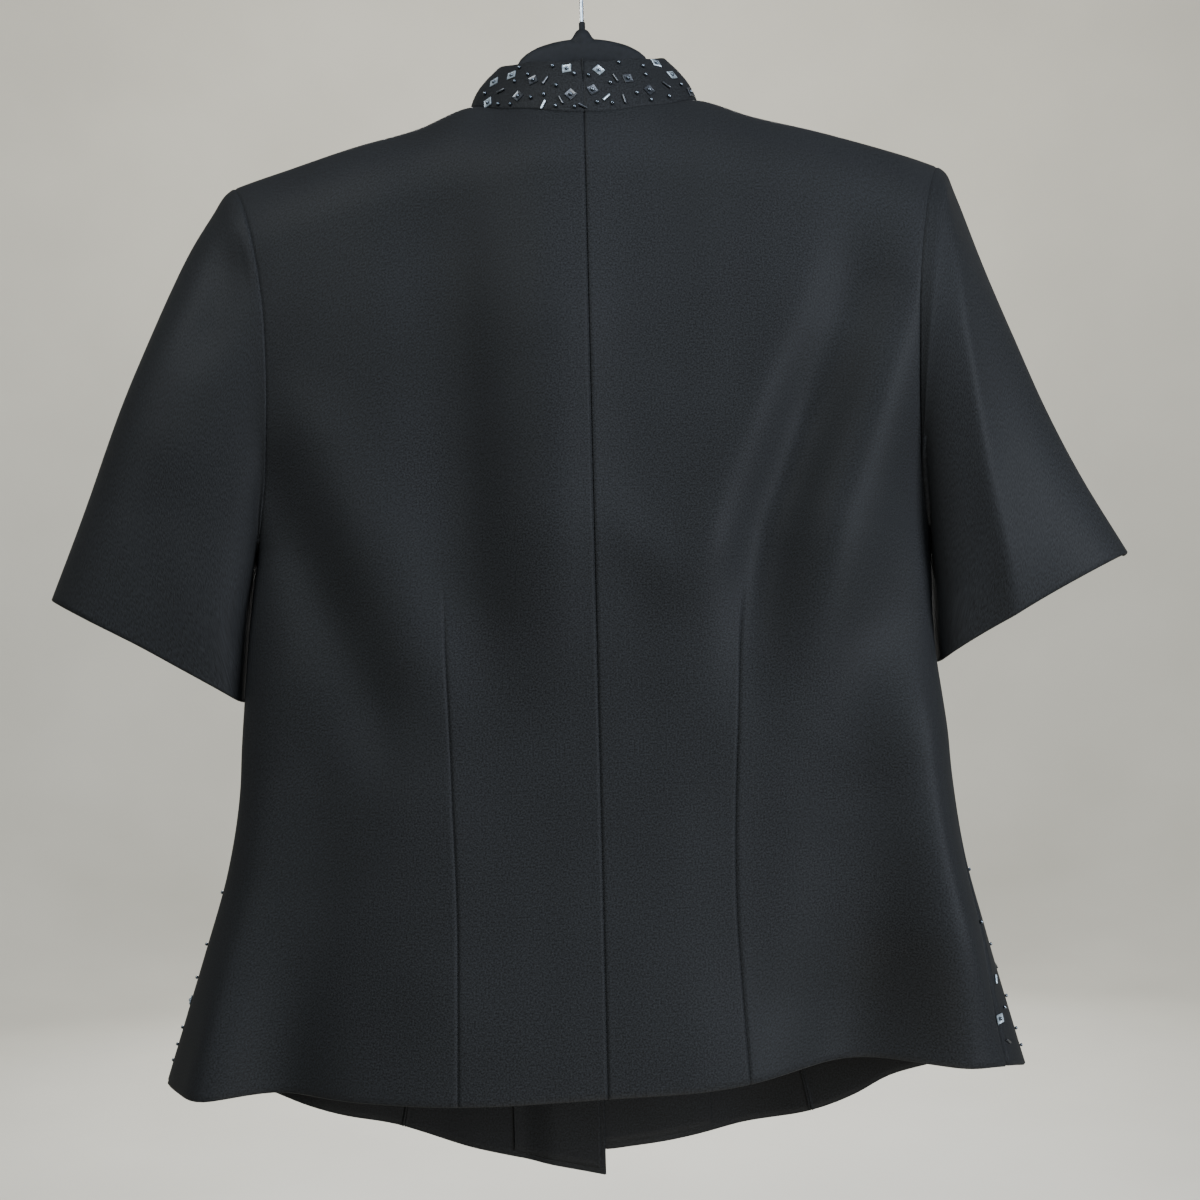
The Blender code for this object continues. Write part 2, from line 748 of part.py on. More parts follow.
def build_hanger(finish):
    """Moulded arms with a short neck, bored for the wire."""
    table = np.array(HANGER, float)
    out = np.concatenate((-table[:0:-1, 0], table[:, 0]))
    rows = np.concatenate((table[:0:-1], table))
    turns = np.arange(HANGER_SEGMENTS) * 2 * np.pi / HANGER_SEGMENTS + np.pi / HANGER_SEGMENTS
    high = rows[:, 2, None] / 2
    z = -(rows[:, 1, None] + high) + high * squared(np.sin(turns))
    y = rows[:, 3, None] / 2 * squared(np.cos(turns))
    x = np.broadcast_to(out[:, None], z.shape)
    hanger = lofted("hanger", np.stack((x, y, z), axis=-1), finish)
    boss = helper(lathe("hanger_boss", NECK_PROFILE, finish))
    bore = helper(lathe("hanger_bore", ((BORE_RADIUS, 50), (BORE_RADIUS, BORE_DROP)), finish))
    combine(hanger, boss, "UNION")
    combine(hanger, bore, "DIFFERENCE")


def build_side(side, cloth):
    """All cloth pieces of one half of the jacket."""
    end = "left" if side == LEFT else "right"
    back, back_way, neck_back = back_grid(side)
    wall(f"back_{end}", back, back - CLOTH * back_way, cloth)
    even = np.linspace(0, 1, SIDE_STEPS + 1)
    middle = panel_grid(side, side_front_edges(side), even, even)
    wall(f"side_front_{end}", middle[0], middle[0] - CLOTH * middle[1], cloth)
    front, front_way, neck_front, stop = front_grid(side)
    wall(f"front_{end}", front, front - CLOTH * front_way, cloth)
    lining = front[:, neck_front:] - (CLOTH + FACING_GAP) * front_way[:, neck_front:]
    under = lining - FACING * front_way[:, neck_front:]
    wall(f"facing_{end}", shortened(lining), shortened(under), cloth)
    outer, inner = sleeve_rings(side, (back, back_way), middle)
    wall(f"sleeve_{end}", outer, inner, cloth, around=True)
    outer, inner = collar_grids(side, back, front, neck_back, neck_front, stop)
    wall(f"collar_{end}", outer, inner, cloth)


def build_buttons(finish):
    """Buttons down the middle of the overlap, on the right front."""

    def angle(at):
        return angle_out(RIGHT, at, BUTTON_OUT, True)

    shares = np.linspace(0.05, 0.95, 400)
    for number, drop in enumerate(BUTTON_DROPS, 1):
        line = body_points(RIGHT, angle, shares)
        share = np.array([np.interp(-drop, line[:, 2], shares)])
        centre = body_points(RIGHT, angle, share)[0]
        way = normals(RIGHT, angle, share)[0]
        button(f"button_{number}", centre + way * 0.5, way, finish)


def main():
    """Clears the scene and builds every piece."""
    for old in list(bpy.data.objects):
        bpy.data.objects.remove(old)
    cloth = material("cloth", 0.6)
    plastic = material("plastic", 0.4)
    metal = material("metal", 0.25, 1.0)
    shiny = material("button", 0.35)
    build_side(LEFT, cloth)
    build_side(RIGHT, cloth)
    build_buttons(shiny)
    build_hanger(plastic)
    sweep("hook", hook_path(), WIRE_RADIUS, metal)


main()
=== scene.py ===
"""Short-sleeve stand-collar jacket hung on a plastic hanger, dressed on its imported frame.

Frame: metres, +Z up, origin at the inside top of the hook. The jacket's back faces -Y and the
wearer's left is -X. Shapes are worked out in millimetres, with heights given as a drop below
the origin, from the same named sizes as the solids, on finer grids.
"""

import json
import logging
import math
from collections.abc import Callable
from dataclasses import dataclass, field
from enum import Enum

import bpy
import numpy as np
from mathutils import Matrix, Vector

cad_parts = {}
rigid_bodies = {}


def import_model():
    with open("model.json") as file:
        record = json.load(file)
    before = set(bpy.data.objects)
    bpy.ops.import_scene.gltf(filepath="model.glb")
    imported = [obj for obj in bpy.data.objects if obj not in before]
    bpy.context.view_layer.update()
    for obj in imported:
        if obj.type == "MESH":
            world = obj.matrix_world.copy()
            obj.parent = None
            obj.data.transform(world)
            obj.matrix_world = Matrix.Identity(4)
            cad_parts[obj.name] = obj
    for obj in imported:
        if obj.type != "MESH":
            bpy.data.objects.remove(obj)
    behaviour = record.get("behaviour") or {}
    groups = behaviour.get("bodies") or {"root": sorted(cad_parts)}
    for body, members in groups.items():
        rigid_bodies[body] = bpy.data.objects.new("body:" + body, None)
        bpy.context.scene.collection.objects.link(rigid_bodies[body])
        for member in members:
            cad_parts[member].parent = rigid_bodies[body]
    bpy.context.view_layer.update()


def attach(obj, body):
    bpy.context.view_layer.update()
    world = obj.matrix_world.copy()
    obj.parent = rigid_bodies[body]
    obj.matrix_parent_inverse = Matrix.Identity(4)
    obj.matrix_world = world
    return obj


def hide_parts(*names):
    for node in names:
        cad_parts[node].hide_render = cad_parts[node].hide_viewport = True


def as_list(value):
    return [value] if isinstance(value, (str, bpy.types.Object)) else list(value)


Array = np.ndarray
Place = tuple[float, float, float]
Pair = tuple[float, float]
AngleAt = Callable[[Array], Array]
Tree = bpy.types.NodeTree
Node = bpy.types.Node
Socket = bpy.types.NodeSocket
Settings = dict[str, object]
Links = dict[str, bpy.types.NodeSocket]

MM = 0.001
ROOT = "root"
UP = np.array((0.0, 0.0, 1.0))
LOG = logging.getLogger("jacket")


class Side(Enum):
    """Half of the jacket by the wearer's hand; the value is its sign along X."""

    LEFT = -1
    RIGHT = 1

    @property
    def column(self) -> int:
        """Column of this half in a table that has left, then right."""
        return 1 if self is Side.LEFT else 2

    @property
    def end(self) -> str:
        """Ending of this half's piece names."""
        return self.name.lower()


class Face(Enum):
    """Face of the jacket; the value is its depth column in the body's table."""

    BACK = 3
    FRONT = 4


class Bead(Enum):
    """Kinds of bead sewn on the cloth."""

    SQUARE = "square"
    # Squares drawn dark: painted shade, standing for pale squares that face away from the light
    SMOKED = "smoked_square"
    SEED = "seed"
    BUGLE = "bugle"
    # Bugles drawn pale: a painted highlight, for dark bugles that catch the light
    BRIGHT = "bright_bugle"


# Beads seen in the photograph by kind: pixel across, pixel down, turn in degrees
Seen = tuple[tuple[Bead, tuple[Place, ...]], ...]
# A bead set on cloth: kind, place, outward direction, lengthwise direction
Spot = tuple[Bead, Array, Array, Array]


@dataclass(frozen=True)
class Table:
    """Rows of numbers, read at a place in the first column."""

    rows: tuple[tuple[float, ...], ...]

    def at(self, place: Array | float, column: int = 1) -> Array:
        """Reads a column by a cubic through the rows, with the rows' mean slopes.

        Args:
            place: Places in the first column, held to its ends.
            column: Which column is read.

        Returns:
            The values at those places.
        """
        table = np.array(self.rows, float)
        xs, ys = table[:, 0], table[:, column]
        slopes = np.gradient(ys, xs)
        held = np.clip(place, xs[0], xs[-1])
        i = np.clip(np.searchsorted(xs, held) - 1, 0, len(xs) - 2)
        step = xs[i + 1] - xs[i]
        u = (held - xs[i]) / step
        bend = slopes[i] * step * u * (1 - u) ** 2 - slopes[i + 1] * step * u**2 * (1 - u)
        return ys[i] + (ys[i + 1] - ys[i]) * eased(u) + bend


@dataclass(frozen=True)
class Creases:
    """Soft ridges and troughs on one face, each along a bent line.

    Each point of a line holds the drop, X, half width, and height, below zero for a trough.
    """

    lines: tuple[tuple[tuple[float, float, float, float], ...], ...]
    crest: float = 0.0

    def height(self, x: Array, drop: Array) -> Array:
        """Sums one bell per crease, by the gap to its line as a share of its width.

        A soft crease is exp(-gap^2). One with a crest is exp(crest - sqrt(gap^2 + crest^2)),
        which comes to a narrow edge.

        Args:
            x: Places along X.
            drop: Drops of the same points.

        Returns:
            How far the cloth stands out at those points.
        """
        total = np.zeros_like(x)
        for line in self.lines:
            nearest = np.full_like(x, np.inf)
            rise = np.zeros_like(x)
            for start, end in zip(np.array(line), np.array(line[1:])):
                along = end - start
                share = (drop - start[0]) * along[0] + (x - start[1]) * along[1]
                held = np.clip(share / (along[:2] @ along[:2]), 0, 1)
                away = np.hypot(drop - start[0] - held * along[0], x - start[1] - held * along[1])
                gap = away / (start[2] + held * along[2])
                sharp = np.exp(self.crest - np.hypot(gap, self.crest))
                bell = sharp if self.crest else np.exp(-(gap**2))
                high = (start[3] + eased(held) * along[3]) * bell
                rise = np.where(gap < nearest, high, rise)
                nearest = np.minimum(gap, nearest)
            total += rise
        return total


def eased(share: Array) -> Array:
    """Share eased in and out as 3s^2 - 2s^3, held from 0 to 1."""
    held = np.clip(share, 0, 1)
    return held**2 * (3 - 2 * held)


def unit(vectors: Array) -> Array:
    """Vectors at length one."""
    return vectors / np.maximum(np.linalg.norm(vectors, axis=-1, keepdims=True), 1e-12)


def gathered(count: int) -> Array:
    """Shares from 0 up to but not including 1, closest at both ends: (1 - cos(pi t)) / 2."""
    return (1 - np.cos(np.pi * np.arange(count) / count)) / 2


def run_along(points: Array, axis: int) -> Array:
    """Distance run along one axis of a grid, from zero at its first points.

    Args:
        points: Grid of points.
        axis: 0 to run along columns, 1 along rows.

    Returns:
        The distance at each point.
    """
    steps = np.linalg.norm(np.diff(points, axis=axis), axis=-1)
    start = np.zeros_like(np.take(steps, [0], axis=axis))
    return np.concatenate((start, np.cumsum(steps, axis=axis)), axis=axis)


def ways_out(points: Array, side: Side) -> Array:
    """Outward directions of a grid: across its columns crossed with up its rows.

    Args:
        points: Grid of points.
        side: Half of the jacket, which says which way is out.

    Returns:
        One direction for each point.
    """
    across = np.gradient(points, axis=1)
    upward = np.gradient(points, axis=0)
    return side.value * unit(np.cross(across, upward))


def sunk(points: Array, ways: Array, gap: Array, depth: Array | float, width: float) -> Array:
    """Sinks a seam into a grid by depth times exp(-(gap / width)^2).

    Args:
        points: Grid of points.
        ways: Outward directions of the grid.
        gap: Distance of each point from the seam.
        depth: Depth of the seam, or one depth for each point.
        width: Half width of the seam's valley.

    Returns:
        The moved grid.
    """
    return points - ways * (depth * np.exp(-((gap / width) ** 2)))[..., None]


def corners(grid: Array) -> Array:
    """The four corners of each cell of a grid, in order round the cell."""
    cells = np.stack((grid[:-1, :-1], grid[:-1, 1:], grid[1:, 1:], grid[1:, :-1]), axis=2)
    return cells.reshape(-1, *cells.shape[2:])


def linear(code: str) -> tuple[float, float, float, float]:
    """Linear colour of an sRGB hex code: c / 12.92 below 0.04045, else ((c + 0.055) / 1.055)^2.4.

    Args:
        code: The colour as #rrggbb.

    Returns:
        Red, green, blue and an alpha of one.
    """
    parts = np.array([int(code[i : i + 2], 16) for i in (1, 3, 5)]) / 255
    lit = np.where(parts <= 0.04045, parts / 12.92, ((parts + 0.055) / 1.055) ** 2.4)
    return (*lit.tolist(), 1.0)


def set_node(tree: Tree, node: Node, settings: Settings, links: Links) -> Node:
    """Gives a node its settings and links.

    Args:
        tree: Tree that holds the node.
        node: The node.
        settings: Values by input name, or by the node's own property.
        links: Sockets that feed the inputs, by input name.

    Returns:
        The node.
    """
    for name, value in settings.items():
        if name in node.inputs:
            node.inputs[name].default_value = value
        else:
            setattr(node, name, value)
    for name, socket in links.items():
        tree.links.new(socket, node.inputs[name])
    return node


def add_node(tree: Tree, kind: str, settings: Settings, links: Links) -> Node:
    """Adds a node of Blender's kind with its settings and links, and returns it."""
    return set_node(tree, tree.nodes.new(kind), settings, links)


def noise(tree: Tree, place: Socket, wide_mm: float, detail: float) -> Socket:
    """Noise from 0 to 1 whose features are about this wide."""
    settings = {"Scale": 1 / (wide_mm * MM), "Detail": detail}
    return add_node(tree, "ShaderNodeTexNoise", settings, {"Vector": place}).outputs["Fac"]


def two_tone(tree: Tree, share: Socket, ends: Pair, codes: tuple[str, str]) -> Socket:
    """Colour that runs from one hex code to the other between two shares.

    Args:
        tree: Tree that takes the node.
        share: Socket with a share from 0 to 1.
        ends: Shares of the first and the second colour.
        codes: The two colours.

    Returns:
        Socket of the colour.
    """
    ramp = add_node(tree, "ShaderNodeValToRGB", {}, {"Fac": share})
    for stop, end, code in zip(ramp.color_ramp.elements, ends, codes):
        stop.position, stop.color = end, linear(code)
    return ramp.outputs["Color"]


def relief(tree: Tree, height: Socket, strength: float, deep_mm: float) -> Socket:
    """Normals of a fine relief."""
    settings = {"Strength": strength, "Distance": deep_mm * MM}
    return add_node(tree, "ShaderNodeBump", settings, {"Height": height}).outputs["Normal"]


def new_material(name: str) -> tuple[bpy.types.Material, Tree, Node]:
    """A material, its tree and its empty Principled shader, joined to the output.

    Args:
        name: Name of the finish.

    Returns:
        The material, its node tree and its shader.
    """
    made = bpy.data.materials.new(name)
    made.use_nodes = True
    tree = made.node_tree
    return made, tree, tree.nodes["Principled BSDF"]


@dataclass(frozen=True)
class WovenCloth:
    """Black polyester crepe suiting, woven: matt, without lustre, with a fine uneven grain."""

    shade: str = "#090909"
    light: str = "#151617"
    roughness: float = 0.6
    # Crepe's grain of 0.5 mm is too fine to show, so it is drawn 1.0 mm wide.
    grain_mm: float = 1.0
    cloud_mm: float = 70.0
    cloud_share: float = 0.1
    detail: float = 2.0
    tone_ends: Pair = (0.34, 0.66)
    bump: float = 0.2
    bump_mm: float = 0.2
    gloss: float = 0.03

    def make(self) -> bpy.types.Material:
        """Builds the material on the piece's own UV map, which is in metres of cloth.

        Returns:
            The material.
        """
        made, tree, shader = new_material("woven_crepe")
        place = add_node(tree, "ShaderNodeUVMap", {"uv_map": "cloth"}, {}).outputs["UV"]
        grain = noise(tree, place, self.grain_mm, self.detail)
        cloud = noise(tree, place, self.cloud_mm, self.detail)
        mix = {"data_type": "FLOAT", "Factor": self.cloud_share}
        tone = add_node(tree, "ShaderNodeMix", mix, {"A": grain, "B": cloud}).outputs["Result"]
        links = {
            "Base Color": two_tone(tree, tone, self.tone_ends, (self.shade, self.light)),
            "Normal": relief(tree, grain, self.bump, self.bump_mm),
        }
        set_node(tree, shader, {"Roughness": self.roughness, "Specular IOR Level": self.gloss}, links)
        return made


@dataclass(frozen=True)
class SmoothFinish:
    """Hard finish with a fine mottle: moulded plastic, plated wire, coated glass.

    The mottle mixes two near colours and moves the roughness a little, so that highlights
    break up as they do on a real surface.
    """

    name: str
    shade: str
    light: str
    rough_low: float
    rough_high: float
    mottle_mm: float
    metallic: float = 0.0
    coat: float = 0.0
    bump_mm: float = 0.0
    gloss: float = 0.5
    detail: float = 4.0
    tone_ends: Pair = (0.32, 0.68)
    bump: float = 0.3
    coat_rough: float = 0.08

    def make(self) -> bpy.types.Material:
        """Builds the material on Object coordinates.

        Returns:
            The material.
        """
        made, tree, shader = new_material(self.name)
        place = add_node(tree, "ShaderNodeTexCoord", {}, {}).outputs["Object"]
        mottle = noise(tree, place, self.mottle_mm, self.detail)
        span = {"To Min": self.rough_low, "To Max": self.rough_high}
        settings = {
            "Metallic": self.metallic,
            "Specular IOR Level": self.gloss,
            "Coat Weight": self.coat,
            "Coat Roughness": self.coat_rough,
        }
        links = {
            "Base Color": two_tone(tree, mottle, self.tone_ends, (self.shade, self.light)),
            "Roughness": add_node(tree, "ShaderNodeMapRange", span, {"Value": mottle}).outputs["Result"],
        }
        if self.bump_mm:
            links["Normal"] = relief(tree, mottle, self.bump, self.bump_mm)
        set_node(tree, shader, settings, links)
        return made


# Injection-moulded polystyrene with a spark-eroded skin: dull black, hardly glossy.
MOULDED_PLASTIC = SmoothFinish(
    "moulded_polystyrene", "#08090a", "#0d0e10", 0.6, 0.75, 3.0, bump_mm=0.06, gloss=0.06
)
# Zinc-plated steel wire: bright, drawn, with slight haze.
PLATED_WIRE = SmoothFinish("plated_steel_wire", "#5c6369", "#7d848a", 0.2, 0.32, 2.0, metallic=1.0)
# Silvered glass squares: pale grey plates that catch the light. The same finish on some bugles is a painted
# highlight.
SILVERED_AND_PAINTED_HIGHLIGHT = SmoothFinish("silvered_glass", "#5e666b", "#7f888d", 0.28, 0.42, 1.2, metallic=0.7)
# Smoked glass tubes: dark, seen mostly by their edges. The same finish on some squares is painted shade,
# for pale squares that face away from the light.
SMOKED = SmoothFinish("dark_glass_and_painted_shade", "#121416", "#202327", 0.26, 0.38, 2.0, metallic=0.45)
# Haematite-coated glass seed beads: near black with a hard point of light.
HAEMATITE = SmoothFinish("haematite_glass", "#2a2f34", "#4a5158", 0.07, 0.14, 3.0, metallic=0.9)
# Cast polyester buttons: low-gloss black.
CAST_BUTTON = SmoothFinish("cast_polyester", "#121315", "#1c1e21", 0.26, 0.36, 5.0, coat=0.3)
# Buttonhole twist: waxed polyester thread.
THREAD = SmoothFinish("polyester_twist", "#141517", "#26282b", 0.5, 0.65, 0.8, bump_mm=0.1)


@dataclass(frozen=True)
class Photo:
    """The photograph's camera: place in metres, and pixels of its 1200 x 1200 frame."""

    place: Place = (0.0, -0.85, -0.4746)
    frame: float = 1200.0
    focal: float = 1393.0
    axis: Pair = (598.6, 706.1)
    roll: float = math.radians(1.4)
    sensor: float = 36.0

    def project(self, points: Array) -> Array:
        """Pixels at which points in millimetres appear: focal times offset over distance.

        Args:
            points: Points in millimetres.

        Returns:
            Their pixels, from the frame's top left.
        """
        away = points * MM - np.array(self.place)
        right = self.focal * away[..., 0] / away[..., 1]
        down = -self.focal * away[..., 2] / away[..., 1]
        turn, lean = math.cos(self.roll), math.sin(self.roll)
        x = self.axis[0] + right * turn + down * lean
        y = self.axis[1] - right * lean + down * turn
        return np.stack((x, y), axis=-1)

    def build(self) -> None:
        """Makes the scene's camera, rolled and shifted as the photograph is framed."""
        data = bpy.data.cameras.new("camera")
        data.sensor_width = self.sensor
        data.lens = self.focal / self.frame * self.sensor
        data.shift_x = 0.5 - self.axis[0] / self.frame
        data.shift_y = self.axis[1] / self.frame - 0.5
        camera = bpy.data.objects.new("camera", data)
        bpy.context.scene.collection.objects.link(camera)
        turn, lean = math.cos(self.roll), math.sin(self.roll)
        across, upward = Vector((turn, 0, -lean)), Vector((lean, 0, turn))
        facing = Matrix((across, upward, Vector((0, -1, 0)))).transposed().to_4x4()
        camera.matrix_world = Matrix.Translation(self.place) @ facing
        bpy.context.scene.camera = camera


@dataclass(frozen=True)
class Piece:
    """A finished mesh with what the frame needs to know of it."""

    name: str
    finish: bpy.types.Material
    slot: str | None = None
    stands_for: tuple[str, ...] = ()
    smooth: bool = True

    def make(self, points: Array, faces: Array, cloth: Array | None = None) -> bpy.types.Object:
        """Makes the object at the origin, dresses it and sets it on the body.

        Args:
            points: Points in millimetres.
            faces: Corner numbers of each face.
            cloth: Place on the cloth of each face's corners, in metres, for the UV map.

        Returns:
            The object.
        """
        mesh = bpy.data.meshes.new(self.name)
        mesh.from_pydata((points * MM).tolist(), [], faces.tolist())
        mesh.polygons.foreach_set("use_smooth", np.full(len(mesh.polygons), self.smooth))
        mesh.materials.append(self.finish)
        if cloth is not None:
            layer = mesh.uv_layers.new(name="cloth")
            layer.data.foreach_set("uv", cloth.astype(np.float32).ravel())
        made = bpy.data.objects.new(self.name, mesh)
        bpy.context.scene.collection.objects.link(made)
        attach(made, ROOT)
        if self.stands_for:
            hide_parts(*self.stands_for)
        LOG.info("%s: %d faces", self.name, len(faces))
        return made


@dataclass(frozen=True)
class Wall:
    """Closed cloth wall between an outer and an inner grid, with a rounded rim."""

    outer: Array
    inner: Array
    side: Side
    around: bool = False
    roundness: float = 0.45

    def make(self, piece: Piece) -> bpy.types.Object:
        """Joins both grids by a rim whose middle stands out, and makes the piece.

        Args:
            piece: The piece that the wall becomes.

        Returns:
            Its object.
        """
        rows, columns = self.outer.shape[:2]
        count = rows * columns
        index = np.arange(count).reshape(rows, columns)
        laid = self.outer
        if self.around:
            index = np.concatenate((index, index[:, :1]), axis=1)
            laid = np.concatenate((laid, laid[:, :1]), axis=1)
        cloth = np.stack((run_along(laid, 1), run_along(laid, 0)), axis=-1) * MM
        outer, inner = self.outer.reshape(-1, 3), self.inner.reshape(-1, 3)
        points = [outer, inner]
        cells, places = corners(index), corners(cloth)
        faces = [cells, cells[:, ::-1] + count]
        uvs = [places, places[:, ::-1]]
        made = 2 * count
        for edge, within, spot in self.rims(index, cloth):
            out = unit(outer[edge] - outer[within])
            thick = np.linalg.norm(outer[edge] - inner[edge], axis=-1, keepdims=True)
            points.append((outer[edge] + inner[edge]) / 2 + self.roundness * thick * out)
            middle = made + np.arange(len(edge))
            made += len(edge)
            after = np.roll(np.arange(len(edge)), -1)
            for low, high in ((middle, edge), (edge + count, middle)):
                faces.append(np.stack((low, low[after], high[after], high), axis=1))
                uvs.append(np.stack((spot, spot[after], spot[after], spot), axis=1))
        faces, uvs = np.concatenate(faces), np.concatenate(uvs)
        if self.side is Side.LEFT:
            faces, uvs = faces[:, ::-1], uvs[:, ::-1]
        return piece.make(np.concatenate(points), faces, uvs)

    def rims(self, index: Array, cloth: Array) -> list[tuple[Array, Array, Array]]:
        """The free edges as rings of points, each with the points next to it and its UVs.

        Args:
            index: Point numbers of the grid.
            cloth: Places on the cloth of the same points.

        Returns:
            For each ring, its points, the points inside it and its places on the cloth.
        """
        if self.around:
            low = (index[0, :-1], index[1, :-1], cloth[0, :-1])
            high = (index[-1, :0:-1], index[-2, :0:-1], cloth[-1, :0:-1])
            return [low, high]

        def ring(grid: Array, low: int, high: int) -> Array:
            """Values round a grid, between its lowest and highest rows and columns."""
            lower = grid[low, :-1], grid[:-1, high]
            upper = grid[high, :0:-1], grid[:0:-1, low]
            return np.concatenate((*lower, *upper))

        return [(ring(index, 0, -1), ring(index, 1, -2), ring(cloth, 0, -1))]


def turned(profile: Array, spokes: Array, rise: Array, centre: Array) -> tuple[Array, Array]:
    """A closed solid turned from a profile: centre + radius x spoke + height x rise.

    Args:
        profile: Radius and height pairs, from the bottom's middle to the top's.
        spokes: Directions round the axis.
        rise: Direction of the axis.
        centre: Foot of the axis.

    Returns:
        Its points and faces.
    """
    rings = centre + profile[:, None, :1] * spokes + profile[:, None, 1:] * rise
    return rings.reshape(-1, 3), tube_faces(len(profile), len(spokes))


def tube_faces(rows: int, columns: int) -> Array:
    """Faces of a tube of rings of points, each ring joined to the next and to itself."""
    index = np.arange(rows * columns).reshape(rows, columns)
    return corners(np.concatenate((index, index[:, :1]), axis=1))


def circle(count: int) -> Array:
    """Angles round a full turn."""
    return np.arange(count) * math.tau / count


@dataclass(frozen=True)
class Waves:
    """Slight waves of hung cloth, long down it; each size is a wave's length over 2 pi."""

    height: float
    across: float
    lean: float
    down: float
    slant: float
    sway: float = 0.0
    sway_down: float = 80.0
    start: float = 0.0

    def rise(self, x: Array, drop: Array) -> Array:
        """Height of the waves: sine across, swayed down the cloth, times a sine down it."""
        across = np.sin(x / self.across + drop / self.lean + self.sway * np.sin(drop / self.sway_down))
        return self.height * across * np.sin(drop / self.down + x / self.slant + self.start)


